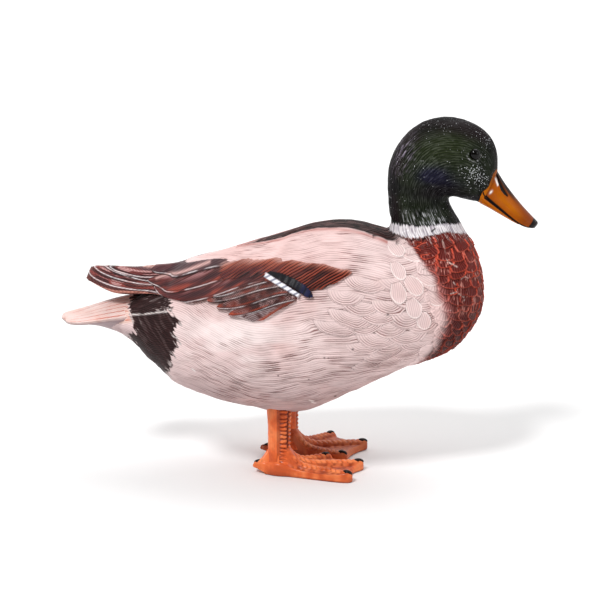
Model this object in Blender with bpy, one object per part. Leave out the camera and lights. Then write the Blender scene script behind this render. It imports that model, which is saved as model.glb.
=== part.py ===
"""Mallard drake statue: a hand-painted cast-resin duck at life size, standing on both feet and looking down.

Frame: metres, +X forward (bill), +Y to the duck's left, +Z up, soles on z = 0, x = 0 midway between bill tip and tail tip.
The casting is one piece in life. Here it is parted with thin cuts where a person names its parts.
"""

import math

import bmesh
import bpy
import numpy as np
from mathutils import Euler, Matrix, Vector

for old in list(bpy.data.objects):
    bpy.data.objects.remove(old, do_unlink=True)

MM = 0.001
GAP = 0.3 * MM  # width of the thin cuts between parts
FORWARD = 2.87  # mm from the leg-centred numbers below to the middle of the whole, which is x = 0

# ---------------------------------------------------------------- driving sizes (mm)
# Trunk, neck and head are one tube. Each station is a flat section through the body:
# dorsal point (x, z), ventral point (x, z), half width, height of the widest level
# as a share of the way down, and the roundness of the upper and of the lower half.
STATIONS = (
    ("rump_tip", (-160, 132.0), (-160, 116.0), 15, 0.50, 2.0, 2.0),
    ("tail_root", (-138, 140.0), (-138, 103.0), 29, 0.45, 2.1, 1.9),
    ("vent", (-124, 147.0), (-124, 89.0), 39, 0.45, 2.1, 1.9),
    ("rump", (-110, 154.5), (-110, 76.5), 47, 0.47, 2.1, 2.0),
    ("scapular_tips", (-97, 169.0), (-97, 67.0), 54, 0.48, 2.1, 2.0),
    ("thigh", (-69, 178.3), (-69, 57.5), 63, 0.49, 2.1, 2.1),
    ("flank", (-41, 187.0), (-41, 51.5), 69, 0.50, 2.1, 2.1),
    ("belly", (-12, 196.5), (-12, 47.5), 73, 0.50, 2.1, 2.1),
    ("keel", (16, 204.5), (16, 52.5), 74, 0.50, 2.1, 2.1),
    ("shoulder", (41, 206.3), (43, 65.0), 73, 0.50, 2.1, 2.1),
    ("saddle_front", (56, 204.0), (72, 79.5), 70, 0.51, 2.1, 2.1),
    ("breast_cut", (66, 201.3), (101, 92.8), 65, 0.53, 2.1, 2.1),
    ("breast_low", (69.0, 200.3), (127.5, 105.5), 58, 0.55, 2.1, 2.1),
    ("breast_full", (70.3, 200.6), (146.2, 132.0), 50, 0.56, 2.1, 2.1),
    ("breast_high", (71.0, 201.1), (148.3, 157.5), 43.5, 0.56, 2.1, 2.1),
    ("crop", (71.6, 201.9), (142, 183.3), 36.5, 0.54, 2.1, 2.1),
    ("ring_low", (72.0, 203.1), (135, 196.8), 31.5, 0.52, 2.1, 2.1),
    ("ring_high", (72.6, 208.8), (129.2, 206.8), 27.2, 0.50, 2.1, 2.1),
    ("neck", (71.4, 218.3), (122.5, 217.8), 23.8, 0.49, 2.1, 2.1),
    ("neck_high", (70.6, 229.3), (120.3, 224.1), 22.6, 0.49, 2.1, 2.1),
    ("nape", (70.2, 241.5), (121.2, 225.9), 23.4, 0.49, 2.1, 2.1),
    ("nape_high", (72.2, 254.5), (123.2, 226.3), 25.2, 0.50, 2.1, 2.1),
    ("cheek_back", (79.0, 269.0), (126.2, 225.9), 27.0, 0.51, 2.1, 2.1),
    ("crown_back", (93.0, 283.3), (130.0, 225.1), 28.2, 0.50, 2.1, 2.1),
    ("crown", (114.0, 290.3), (134.2, 224.1), 28.0, 0.49, 2.1, 2.1),
    ("brow", (133.8, 287.0), (138.0, 223.2), 25.6, 0.50, 2.1, 2.1),
    ("forehead", (149.0, 278.0), (141.0, 222.5), 21.2, 0.52, 2.1, 2.1),
    ("lore", (157.0, 264.0), (143.0, 221.9), 17.0, 0.56, 2.1, 2.1),
    ("bill_base", (158.2, 248.0), (144.6, 221.3), 13.2, 0.60, 2.2, 2.1),
)
# Bill: culmen point, underside point, half width, share of the way down where the mouth line runs.
BILL = (
    ("base", (158.0, 246.9), (144.8, 221.1), 12.6, 0.74),
    ("nostril", (163.8, 237.9), (151.0, 217.9), 11.9, 0.75),
    ("middle", (170.2, 229.5), (158.2, 213.9), 11.4, 0.77),
    ("taper", (176.4, 222.0), (165.4, 209.9), 11.5, 0.81),
    ("spoon", (182.4, 215.4), (172.8, 206.2), 11.9, 0.87),
    ("spoon_end", (187.2, 210.5), (180.0, 203.7), 11.2, 0.93),
    ("tip", (190.8, 207.0), (186.6, 202.6), 7.4, 0.97),
)
LOWER_BILL_END = 0.70  # share of the bill's length that the lower mandible reaches
NAIL_CUT = 0.93  # share of the bill's length where its nail begins
EYE_CENTRE = (138.6, 20.6, 262.6)
EYE_RADIUS = 4.9
# Tail: x and z of the fan's edges, height of the dome between them, half width, z of the keel underneath.
TAIL = (
    ("root", -112, 131.0, 15.0, 20, 99.0),
    ("coverts", -128, 129.5, 14.5, 25, 99.5),
    ("fan_start", -142, 128.0, 13.5, 28.5, 105.5),
    ("fan_middle", -158, 126.3, 11.0, 31.5, 112.0),
    ("fan_wide", -174, 124.6, 7.2, 34, 117.0),
    ("fan_end", -187, 123.8, 3.8, 27, 120.2),
    ("tip", -196.8, 123.8, 1.4, 9, 121.8),
)
TAIL_EDGE = 2.2  # thickness of the fan's edge
TAIL_CUT = -138.0
# Wing, seen from the side: x, z of the upper and of the lower edge, and how far the folded
# wing stands clear of the trunk (1 = on the trunk, 0 = free of it).
WING = (
    ("bend", (45, 175.8), (45, 174.6), 1.0),
    ("lesser_coverts", (31, 182.3), (31.5, 166.5), 1.0),
    ("coverts", (8, 185.3), (14, 155.0), 1.0),
    ("speculum", (-22, 183.6), (-8, 144.0), 1.0),
    ("secondaries", (-50, 179.2), (-32, 136.5), 1.0),
    ("tertials", (-78, 174.0), (-60, 140.5), 1.0),
    ("tertial_tips", (-100, 169.0), (-85, 146.5), 0.85),
    ("wrist_fold", (-120, 166.8), (-106, 148.0), 0.5),
    ("primaries", (-138, 165.0), (-130, 146.2), 0.15),
    ("primary_ends", (-158, 165.2), (-152, 147.8), 0.0),
    ("tip", (-173.0, 164.8), (-174.5, 157.5), 0.0),
)
WING_PROUD = 3.2  # how far the folded wing stands out from the trunk
WING_SINK = 1.6  # and how much less it does at its rim
WING_DEEP = 11.0  # how deep its blank reaches before the trunk is cut away from it
WING_THICK = 6.5  # thickness of the free primaries, measured across the body
WING_BLEND = 2.5  # softness of the turn from lying on the trunk to standing free of it
WING_RIDGE_Y = 2.2  # half distance between the two folded wings over the rump
WING_EAVE_Y = 23.0  # half width of the folded primaries
PRIMARIES_CUT = -112.0  # x where the primaries part from the rest of the wing
RUMP_CUT = -104.0  # x where the rump parts from the back and the belly
BACK_CUT = ((40, 166.0), (-104, 156.0))  # side view of the cut between back and belly, under the wings
# Legs and feet
LEG = {"right": (-15.5, -26.0), "left": (-13.5, 26.0)}  # ankle x, y
LEG_HALF = (9.0, 7.6)  # half depth and half width of the tarsus
LEG_RIDGE = 1.1  # height of the scute ridge down the front
LEG_TOP = 74.0
FOOT_CUT = 15.0
# Toes: heading from straight ahead (degrees, outward positive), length, from the ankle.
TOES = {
    "right": (("inner", -35, 50), ("middle", -9, 71), ("outer", 20, 66), ("hind", 176, 21)),
    "left": (("inner", -23, 58), ("middle", 13, 71), ("outer", 45, 55), ("hind", 205, 22)),
}
WEB_DIP = 0.88  # reach of the web between two toes, as a share of their mean length
WEB_THICK = 6.0
TOE_THICK = 9.2
TOE_HALF = 5.4
ANKLE_HALF = 10.5
HEEL_FLARE = 5.5  # extra width of the sole on the outer side of the ankle
INSTEP = 15.0
CLAW = (4.2, 2.6, 2.2)  # half length, half width, half height
RING_POINTS = 24

# ---------------------------------------------------------------- colours
COLOURS = {
    "green": ((0.012, 0.026, 0.012), 0.38),
    "charcoal": ((0.035, 0.022, 0.020), 0.36),
    "white": ((0.72, 0.68, 0.64), 0.45),
    "chestnut": ((0.24, 0.035, 0.022), 0.35),
    "pale": ((0.66, 0.52, 0.50), 0.42),
    "wing_brown": ((0.14, 0.055, 0.045), 0.40),
    "tail_cream": ((0.74, 0.52, 0.44), 0.42),
    "amber": ((0.62, 0.25, 0.015), 0.22),
    "black": ((0.008, 0.008, 0.009), 0.20),
    "orange": ((0.56, 0.13, 0.03), 0.38),
}


def material(name):
    found = bpy.data.materials.get(name)
    if found:
        return found
    colour, rough = COLOURS[name]
    made = bpy.data.materials.new(name)
    made.use_nodes = True
    shader = made.node_tree.nodes["Principled BSDF"]
    shader.inputs["Base Color"].default_value = (*colour, 1)
    shader.inputs["Roughness"].default_value = rough
    shader.inputs["Metallic"].default_value = 0.0
    return made


# ---------------------------------------------------------------- shape functions
def spline(values, at):
    """Natural cubic spline through rows of values at 0, 1, 2..., read at the places given."""
    y = np.asarray(values, float)
    n = len(y)
    at = np.clip(np.asarray(at, float), 0, n - 1)
    system = np.eye(n)
    right = np.zeros_like(y)
    for i in range(1, n - 1):
        system[i, i - 1 : i + 2] = (1, 4, 1)
        right[i] = 6 * (y[i + 1] - 2 * y[i] + y[i - 1])
    bend = np.linalg.solve(system, right)
    i = np.minimum(at.astype(int), n - 2)
    t = (at - i)[..., None]
    a, b, ma, mb = y[i], y[i + 1], bend[i], bend[i + 1]
    return (
        a * (1 - t) + b * t + ((1 - t) ** 3 - (1 - t)) * ma / 6 + (t**3 - t) * mb / 6
    )


def tube_values(s):
    """Dorsal x, z, ventral x, z, half width, widest share and the two exponents at station number s."""
    table = [
        (d[0], d[1], v[0], v[1], hw, wide, top, low)
        for _, d, v, hw, wide, top, low in STATIONS
    ]
    return spline(table, s)


def station(name):
    return [row[0] for row in STATIONS].index(name)


def tube_point(s, angle, grow=0.0):
    """Points of the body's surface at station s; angle 0 is the back, pi/2 the left side, pi the belly."""
    v = tube_values(s)
    d, b = v[..., 0:2], v[..., 2:4]
    axis = d - b
    length = np.linalg.norm(axis, axis=-1, keepdims=True)
    axis = axis / length
    d, b = d + axis * grow, b - axis * grow
    length = length[..., 0] + 2 * grow
    half, wide, top, low = v[..., 4] + grow, v[..., 5], v[..., 6], v[..., 7]
    up = np.cos(angle) >= 0
    power = np.where(up, top, low)
    reach = np.where(up, wide, 1 - wide) * length
    rise = np.sign(np.cos(angle)) * np.abs(np.cos(angle)) ** (2 / power) * reach
    side = np.sign(np.sin(angle)) * np.abs(np.sin(angle)) ** (2 / power) * half
    middle = d - axis * (wide * length)[..., None]
    flat = middle + axis * rise[..., None]
    return np.stack([flat[..., 0], side, flat[..., 1]], -1)


def trunk_side(x, z):
    """Half width of the trunk at x and height z, where the sections stand upright."""
    s = np.linspace(0, station("shoulder"), 400)
    v = tube_values(s)
    at = np.interp(x, (v[:, 0] + v[:, 2]) / 2, s)
    v = tube_values(at)
    top, low, half, wide, power = v[..., 1], v[..., 3], v[..., 4], v[..., 5], v[..., 6]
    level = top - (top - low) * wide
    share = np.where(z > level, (z - level) / (top - level), (level - z) / (level - low))
    return half * np.clip(1 - np.clip(share, 0, 1) ** power, 0, 1) ** (1 / power)


def wing_point(u, v):
    """Middle surface of the left wing's outer face: u runs from the bend to the tip, v from the upper to the lower edge."""
    table = [(t[0], t[1], b[0], b[1], on) for _, t, b, on in WING]
    w = spline(table, u * (len(WING) - 1))
    x = w[..., 0] * (1 - v) + w[..., 2] * v
    z = w[..., 1] * (1 - v) + w[..., 3] * v
    on = np.clip(w[..., 4], 0, 1)
    roof = WING_RIDGE_Y + (WING_EAVE_Y - WING_RIDGE_Y) * v**0.8
    roof = roof * (1 - 0.45 * np.clip((-x - 150) / 40, 0, 1))
    lying = trunk_side(x, z) + WING_PROUD
    clear = WING_BLEND * np.log(np.exp(lying / WING_BLEND) + np.exp(roof / WING_BLEND))
    return np.stack([x, on * lying + (1 - on) * clear, z], -1)


# ---------------------------------------------------------------- mesh helpers
def mesh_object(name, points, faces, colour=None, scale=MM):
    mesh = bpy.data.meshes.new(name)
    mesh.from_pydata([tuple(p) for p in np.asarray(points, float) * scale], [], faces)
    mesh.validate()
    grid = bmesh.new()
    grid.from_mesh(mesh)
    bmesh.ops.remove_doubles(grid, verts=grid.verts, dist=1e-6)
    bmesh.ops.recalc_face_normals(grid, faces=grid.faces)
    grid.to_mesh(mesh)
    grid.free()
    made = bpy.data.objects.new(name, mesh)
    bpy.context.scene.collection.objects.link(made)
    if colour:
        mesh.materials.append(material(colour))
    mesh.shade_smooth()
    return made


def loft(rings):
    """Faces of a closed tube through rings of equally many points, each end closed with one face."""
    rows, cols = len(rings), len(rings[0])
    points = np.concatenate(rings)
    faces = []
    for i in range(rows - 1):
        for j in range(cols):
            k = (j + 1) % cols
            faces.append((i * cols + j, i * cols + k, (i + 1) * cols + k, (i + 1) * cols + j))
    faces.append(tuple(range(cols))[::-1])
    faces.append(tuple((rows - 1) * cols + j for j in range(cols)))
    return points, faces


def hide(thing):
    thing.hide_render = True
    thing.display_type = "WIRE"
    return thing


def evaluated_copy(thing, name):
    bpy.context.view_layer.update()
    graph = bpy.context.evaluated_depsgraph_get()
    mesh = bpy.data.meshes.new_from_object(thing.evaluated_get(graph))
    mesh.name = name
    made = bpy.data.objects.new(name, mesh)
    bpy.context.scene.collection.objects.link(made)
    return made


def boolean(thing, other, operation):
    change = thing.modifiers.new(operation.title() + "_" + other.name, "BOOLEAN")
    change.operation = operation
    change.solver = "EXACT"
    change.object = other
    hide(other)
    return thing


def settle(thing):
    """Turns a Boolean into plain mesh, so that a plane can cut the result."""
    name = thing.name
    made = evaluated_copy(thing, name + "_settled")
    users = [m.object for m in thing.modifiers if m.type == "BOOLEAN"]
    bpy.data.objects.remove(thing, do_unlink=True)
    for user in users:
        bpy.data.objects.remove(user, do_unlink=True)
    made.name = name
    return made


def cut(thing, point, normal):
    """Cuts away what lies on the normal's side of the plane, and closes the hole."""
    shape = bmesh.new()
    shape.from_mesh(thing.data)
    bmesh.ops.bisect_plane(
        shape,
        geom=shape.verts[:] + shape.edges[:] + shape.faces[:],
        plane_co=point,
        plane_no=normal,
        clear_outer=True,
        dist=1e-7,
    )
    rim = [e for e in shape.edges if e.is_boundary]
    bmesh.ops.edgeloop_fill(shape, edges=rim)
    bmesh.ops.recalc_face_normals(shape, faces=shape.faces)
    shape.to_mesh(thing.data)
    shape.free()
    thing.data.update()
    return thing


def part_off(thing, name, point, normal, colour):
    """Parts a solid in two at a plane with one thin cut between them; what lies on the normal's side becomes the new part."""
    point, normal = Vector(point) * MM, Vector(normal).normalized()
    other = evaluated_copy(thing, name)
    cut(other, point + normal * GAP / 2, -normal)
    cut(thing, point - normal * GAP / 2, normal)
    other.data.materials.clear()
    other.data.materials.append(material(colour))
    other.data.shade_smooth()
    return other


def section_plane(name):
    """A point and the forward normal of a station's plane, in metres."""
    v = tube_values(np.array([float(station(name))]))[0]
    d, b = np.array([v[0], 0, v[1]]), np.array([v[2], 0, v[3]])
    along = (d - b) / np.linalg.norm(d - b)
    normal = np.cross(along, (0, -1, 0))
    ahead = tube_values(np.array([station(name) + 0.5]))[0]
    middle = np.array([(ahead[0] + ahead[2]) / 2, 0, (ahead[1] + ahead[3]) / 2])
    if np.dot(middle - (d + b) / 2, normal) < 0:
        normal = -normal
    return (d + b) / 2 * MM, normal


def tube_piece(name, start, end, rings_per_station, colour, grow=0.0, lead=0.0):
    count = max(2, int(round((end - start) * rings_per_station)) + 1)
    angle = np.arange(RING_POINTS) * 2 * math.pi / RING_POINTS
    rings = [
        tube_point(np.full(RING_POINTS, s), angle, grow)
        for s in np.linspace(start - lead, end, count)
    ]
    points, faces = loft(rings)
    return mesh_object(name, points, faces, colour)


# ---------------------------------------------------------------- trunk, breast, neck and head
def body_parts():
    b, r = station("breast_cut"), station("ring_low")
    n, h, e = station("ring_high"), station("nape"), station("bill_base")
    made = {"trunk": tube_piece("trunk", 0, b, 1.4, "pale")}
    for name, start, end, density, colour, plane in (
        ("breast", b, r, 2.0, "chestnut", "breast_cut"),
        ("neck_ring", r, n, 3.0, "white", "ring_low"),
        ("neck", n, h, 2.0, "green", "ring_high"),
        ("head", h, e, 1.5, "green", "nape"),
    ):
        piece = tube_piece(name, start, end, density, colour, lead=0.6)
        point, normal = section_plane(plane)
        made[name] = cut(piece, point + normal * GAP, -normal)
    return made


# ---------------------------------------------------------------- tail
def tail_ring(x, edge, dome, half, keel):
    """A section across the tail: domed top, thin edges, keel underneath."""
    across = np.linspace(-1, 1, 9)
    upper = [(x, half * t, edge + dome * (1 - abs(t) ** 1.7)) for t in across]
    under = np.linspace(1, -1, 9)
    rim = min(TAIL_EDGE, (edge - keel) * 0.9)
    lower = []
    for t in under:
        depth = rim + (edge - keel - rim) * (1 - abs(t) ** 1.3) ** 1.15
        lower.append((x, half * t * 0.985, edge - depth))
    return np.array(upper + lower)


def tail_raw():
    table = [row[1:] for row in TAIL]
    rings = [tail_ring(*spline(table, np.array([s]))[0]) for s in np.linspace(0, len(TAIL) - 1, 17)]
    points, faces = loft(rings)
    return mesh_object("tail", points, faces, "tail_cream")


def tail_and_trunk(trunk):
    whole = boolean(trunk, tail_raw(), "UNION")
    whole = settle(whole)
    whole.data.materials.clear()
    whole.data.materials.append(material("pale"))
    whole.data.shade_smooth()
    return whole


def part_trunk(trunk):
    part_off(trunk, "tail", (TAIL_CUT, 0, 0), (-1, 0, 0), "tail_cream")
    part_off(trunk, "rump", (RUMP_CUT, 0, 0), (-1, 0, 0), "black")
    (x0, z0), (x1, z1) = BACK_CUT
    part_off(trunk, "back", (x0, 0, z0), (z1 - z0, 0, x0 - x1), "charcoal")
    trunk.name = "belly"


# ---------------------------------------------------------------- wings
def wing(name, side, around):
    """The folded wing: its outer face is modelled, its inner face is the trunk's own surface, one thin cut away."""
    us, vs = np.linspace(0, 1, 27), np.linspace(0, 1, 8)
    u, v = np.meshgrid(us, vs, indexing="ij")
    outer = wing_point(u, v)
    rim = np.minimum(1, np.minimum(v, 1 - v) * 6) * np.minimum(1, np.minimum(u * 12, (1 - u) * 14))
    outer[..., 1] = np.maximum(outer[..., 1] - (1 - rim) * WING_SINK, WING_RIDGE_Y)
    inner = outer.copy()
    free = np.clip((-outer[..., 0] - 100) / 30, 0, 1)
    inner[..., 1] = np.maximum(outer[..., 1] - (WING_DEEP * (1 - free) + WING_THICK * free), 0.8)
    rows, cols = u.shape
    points = np.concatenate([outer.reshape(-1, 3), inner.reshape(-1, 3)])
    points[:, 1] *= side
    index = np.arange(rows * cols).reshape(rows, cols)
    faces = []
    for i in range(rows - 1):
        for j in range(cols - 1):
            a, b, c, d = index[i, j], index[i, j + 1], index[i + 1, j + 1], index[i + 1, j]
            for face in ((a, b, c), (a, c, d)):
                faces.append(face)
                faces.append(tuple(q + rows * cols for q in face[::-1]))
    loop = (
        list(index[0, :]) + list(index[1:, -1]) + list(index[-1, -2::-1]) + list(index[-2:0:-1, 0])
    )
    for a, b in zip(loop, loop[1:] + loop[:1]):
        faces.append((a, b, b + rows * cols))
        faces.append((a, b + rows * cols, a + rows * cols))
    whole = boolean(mesh_object(name, points, faces, "wing_brown"), evaluated_copy(around, "wing_bed"), "DIFFERENCE")
    whole = settle(whole)
    part_off(whole, name.replace("wing", "primaries"), (PRIMARIES_CUT, 0, 0), (-1, 0, 0), "wing_brown")
    return whole


# ---------------------------------------------------------------- bill
def bill_values(s):
    table = [(d[0], d[1], v[0], v[1], hw, m) for _, d, v, hw, m in BILL]
    return spline(table, s)


def bill_section(v, part):
    """A section of one mandible. The upper one is a dome over a flat palate, the lower one a shallow trough."""
    d, b = np.array([v[0], v[1]]), np.array([v[2], v[3]])
    length = np.linalg.norm(d - b)
    axis = (d - b) / length
    mouth = d - axis * length * v[5]
    t = np.linspace(0, math.pi, 13)
    if part == "upper":
        rise = length * v[5]
        side = np.cos(t) * v[4]
        height = np.abs(np.sin(t)) ** 0.9 * rise
        height = np.concatenate([height, np.full(3, 0.0)])
        side = np.concatenate([side, np.array([-0.5, 0, 0.5]) * v[4]])
    else:
        drop = length * (1 - v[5]) - GAP / MM
        side = np.cos(t) * v[4] * 0.90
        height = -GAP / MM - np.abs(np.sin(t)) ** 0.8 * max(drop, 0.8)
        side = np.concatenate([side, np.array([-0.45, 0, 0.45]) * v[4]])
        height = np.concatenate([height, np.full(3, -GAP / MM)])
    flat = mouth[None] + axis[None] * height[:, None]
    return np.stack([flat[:, 0], side, flat[:, 1]], -1)


def bill_parts():
    last = len(BILL) - 1
    rings = [bill_section(bill_values(np.array([s]))[0], "upper") for s in np.linspace(0, last, 13)]
    tip = rings[-1].mean(0) + np.array([1.2, 0, -1.2])
    rings.append(tip + (rings[-1] - rings[-1].mean(0)) * 0.55)
    points, faces = loft(rings)
    upper = mesh_object("bill_upper", points, faces, "amber")
    nail = bill_values(np.array([last * NAIL_CUT]))[0]
    ahead = bill_values(np.array([last * NAIL_CUT + 0.2]))[0]
    part_off(upper, "bill_nail", (nail[0], 0, nail[1]), (ahead[0] - nail[0], 0, ahead[1] - nail[1]), "black")
    rings = [
        bill_section(bill_values(np.array([s]))[0], "lower")
        for s in np.linspace(0, last * LOWER_BILL_END, 9)
    ]
    points, faces = loft(rings)
    lower = mesh_object("bill_lower", points, faces, "amber")
    return upper, lower


def ellipsoid(name, centre, radii, colour, segments=12, rings=8, heading=(0, 0, 0)):
    shape = bmesh.new()
    bmesh.ops.create_uvsphere(shape, u_segments=segments, v_segments=rings, radius=1.0)
    mesh = bpy.data.meshes.new(name)
    shape.to_mesh(mesh)
    shape.free()
    mesh.transform(
        placement(centre, radii, heading)
    )
    made = bpy.data.objects.new(name, mesh)
    bpy.context.scene.collection.objects.link(made)
    mesh.materials.append(material(colour))
    mesh.shade_smooth()
    return made


def placement(centre, radii, heading):
    size = Matrix.Diagonal((*[r * MM for r in radii], 1))
    turn = Euler([math.radians(a) for a in heading]).to_matrix().to_4x4()
    return Matrix.Translation(Vector(centre) * MM) @ turn @ size


# ---------------------------------------------------------------- legs and feet
def apart(heading, angle):
    """Angle between two headings, in degrees, signed."""
    return (heading - angle + 180) % 360 - 180


def foot_reach(side, heading):
    """How far the foot reaches from the ankle in a direction (degrees, outward positive)."""
    toes = {name: (angle, length) for name, angle, length in TOES[side]}
    order = [toes["inner"], toes["middle"], toes["outer"]]
    flare = np.clip(np.cos(np.radians(apart(heading, 70)) * 1.15), 0, 1)
    reach = ANKLE_HALF + HEEL_FLARE * flare
    for (a0, l0), (a1, l1) in zip(order, order[1:]):
        t = (heading - a0) / (a1 - a0)
        inside = (t >= 0) & (t <= 1)
        dip = 1 - (1 - WEB_DIP) * np.sin(np.pi * np.clip(t, 0, 1)) ** 0.8
        reach = np.where(inside, (l0 * (1 - t) + l1 * t) * dip, reach)
    for angle, length in toes.values():
        off = np.radians(np.abs(apart(heading, angle)))
        middle = length - TOE_HALF
        side_on = TOE_HALF / np.maximum(np.sin(np.clip(off, 1e-3, math.pi / 2)), 1e-6)
        inner = TOE_HALF**2 - (middle * np.sin(off)) ** 2
        end_on = middle * np.cos(off) + np.sqrt(np.clip(inner, 0, None))
        toe = np.where(off >= math.pi / 2, 0, np.where(inner > 0, end_on, side_on))
        reach = np.maximum(reach, toe)
    return reach


def foot_top(side, heading, distance):
    """Height of the foot's upper face at a distance from the ankle."""
    height = np.full(np.shape(heading), WEB_THICK)
    for name, angle, length in TOES[side]:
        off = np.radians(apart(heading, angle))
        along, beside = distance * np.cos(off), distance * np.abs(np.sin(off))
        bump = np.clip(1 - (beside / TOE_HALF) ** 2, 0, 1) ** 0.5 * (along > 0)
        rise = TOE_THICK * (1 - 0.10 * np.clip(along / length, 0, 1))
        height = np.maximum(height, WEB_THICK + (rise - WEB_THICK) * bump)
    behind = np.cos(np.radians(apart(heading, TOES[side][3][1])))
    spread = 14.0 - 4.5 * np.clip(behind, 0, 1)
    return height + INSTEP * np.exp(-((distance / spread) ** 2))


def foot_raw(side, name):
    """A polar height field round the ankle over a flat sole; the hind toe's tip is lifted off the floor."""
    sign = -1 if side == "right" else 1
    ax, ay = LEG[side]
    marks = []
    for _, angle, length in TOES[side]:
        half = math.degrees(math.atan2(TOE_HALF, length))
        marks += [angle - half, angle - half * 0.5, angle, angle + half * 0.5, angle + half]
    plain = [a for a in np.arange(-90, 270, 15.0) if min(abs(apart(a, h)) for h in marks) > 5]
    headings = np.array(sorted({round((a + 90) % 360 - 90, 3) for a in marks + plain}))
    reach = foot_reach(side, headings)
    hind = np.abs(apart(headings, TOES[side][3][1])) < 32
    a = np.radians(headings)
    n = len(headings)

    def ring(d, z):
        return list(np.stack([ax + d * np.cos(a), ay + sign * d * np.sin(a), z], -1))

    rings = []
    edge = 3.2
    for share in (0.24, 0.5, 0.76, 1.0):
        d = (reach - edge) * share
        rings.append(ring(d, foot_top(side, headings, d)))
    height = foot_top(side, headings, reach - edge)
    low = np.where(hind, 4.6 * np.clip((reach - 12) / 8, 0, 1), 0)
    rings.append(ring(reach - 0.9, height - 1.3))
    rings.append(ring(reach, np.maximum(height - 3.4, low + 1.6)))
    rings.append(ring(reach - 0.2, low + 1.0))
    rings.append(ring(reach - 1.2, low))
    rings.append(ring(np.where(hind, 9.0, reach - 4.0), 0 * low))
    points = [(ax, ay, float(foot_top(side, np.zeros(1), np.zeros(1))[0]))]
    for row in rings:
        points += row
    points.append((ax, ay, 0.0))
    faces = [(0, 1 + j, 1 + (j + 1) % n) for j in range(n)]
    for k in range(len(rings) - 1):
        for j in range(n):
            p, q = 1 + k * n + j, 1 + k * n + (j + 1) % n
            faces.append((p, p + n, q + n, q))
    start = 1 + (len(rings) - 1) * n
    faces += [(start + j, len(points) - 1, start + (j + 1) % n) for j in range(n)]
    return mesh_object(name, points, faces, "orange")


def leg_raw(side, name):
    ax, ay = LEG[side]
    rings = []
    for z in (4.0, 9.0, 14.0, 19.0, 26.0, 38.0, 48.0, LEG_TOP):
        a = np.arange(16) * 2 * math.pi / 16
        flare = 1 + 0.20 * math.exp(-(((z - 4) / 9.0) ** 2)) + 0.10 * np.clip((z - 40) / 12, 0, 1)
        ridge = LEG_RIDGE * np.exp(-((((a + math.pi) % (2 * math.pi) - math.pi) / 0.5) ** 2))
        x = ax + (LEG_HALF[0] + ridge) * flare * np.cos(a)
        y = ay + LEG_HALF[1] * flare * np.sin(a)
        rings.append(np.stack([x, y, np.full(16, z)], -1))
    points, faces = loft(rings)
    return mesh_object(name, points, faces, "orange")


def leg_and_foot(side, around):
    whole = boolean(foot_raw(side, "foot_" + side), leg_raw(side, "leg_" + side), "UNION")
    whole = settle(whole)
    leg = evaluated_copy(whole, "leg_" + side)
    cut(leg, (0, 0, FOOT_CUT * MM + GAP / 2), (0, 0, -1))
    cut(whole, (0, 0, FOOT_CUT * MM - GAP / 2), (0, 0, 1))
    whole.name = "foot_" + side
    for piece in (leg, whole):
        piece.data.materials.clear()
        piece.data.materials.append(material("orange"))
        piece.data.shade_smooth()
    boolean(leg, around, "DIFFERENCE")
    return leg, whole


def claws(side, foot):
    sign = -1 if side == "right" else 1
    ax, ay = LEG[side]
    for name, angle, length in TOES[side]:
        a = math.radians(angle)
        reach = length - CLAW[0] - 0.6
        height = foot_top(side, np.array([angle * 1.0]), np.array([reach]))[0] - 0.7
        centre = (ax + reach * math.cos(a), ay + sign * reach * math.sin(a), height)
        turn = (0, 8, sign * angle)
        ellipsoid("claw_%s_%s" % (side, name), centre, CLAW, "black", 8, 4, turn)
        grown = [r + GAP / MM for r in CLAW]
        socket = ellipsoid("socket_%s_%s" % (side, name), centre, grown, "black", 8, 4, turn)
        boolean(foot, socket, "DIFFERENCE")


# ---------------------------------------------------------------- the whole statue
def build():
    parts = body_parts()
    part_trunk(tail_and_trunk(parts["trunk"]))
    around = hide(tube_piece("trunk_clearance", 0, station("breast_cut"), 1.4, "pale", grow=GAP / MM))
    for side, sign in (("left", 1), ("right", -1)):
        wing("wing_" + side, sign, around)
    for side in ("left", "right"):
        _, foot = leg_and_foot(side, around)
        claws(side, foot)
    for side, sign in (("left", 1), ("right", -1)):
        x, y, z = EYE_CENTRE
        ellipsoid("eye_" + side, (x, y * sign, z), (EYE_RADIUS,) * 3, "black")
        socket = ellipsoid("socket_eye_" + side, (x, y * sign, z), (EYE_RADIUS + GAP / MM,) * 3, "black")
        boolean(parts["head"], socket, "DIFFERENCE")
    bill_parts()
    for thing in bpy.data.objects:
        thing.location.x += FORWARD * MM


build()
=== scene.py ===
"""Looks of the mallard drake statue: a hand-painted cast-resin duck, glossy paint over carved feathers.

Everything is worked out in millimetres in the casting's own numbers and moved FORWARD at the end,
as the solids are. The shape functions are the same as the solids', sampled finely; feathers are
carved into them as overlapping tilted plates, and the paint follows the carving.
"""

import math

import bpy
import numpy as np
from mathutils import Euler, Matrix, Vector


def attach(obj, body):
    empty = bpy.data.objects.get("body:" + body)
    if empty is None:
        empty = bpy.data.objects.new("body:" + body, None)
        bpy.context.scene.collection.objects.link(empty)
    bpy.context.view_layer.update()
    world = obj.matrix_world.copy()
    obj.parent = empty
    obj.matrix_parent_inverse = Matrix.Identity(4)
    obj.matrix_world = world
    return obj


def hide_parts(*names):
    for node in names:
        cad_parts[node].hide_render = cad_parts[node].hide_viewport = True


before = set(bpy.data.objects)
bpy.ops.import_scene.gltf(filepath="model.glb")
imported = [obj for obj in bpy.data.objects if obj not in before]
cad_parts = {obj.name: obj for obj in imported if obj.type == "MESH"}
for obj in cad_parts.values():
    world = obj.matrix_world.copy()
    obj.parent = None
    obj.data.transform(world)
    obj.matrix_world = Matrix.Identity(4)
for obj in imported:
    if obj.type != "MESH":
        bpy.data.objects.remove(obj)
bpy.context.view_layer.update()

MM = 0.001
FORWARD = 2.87
DETAIL = 1.0
ROUGH_SEED = 11


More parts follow.
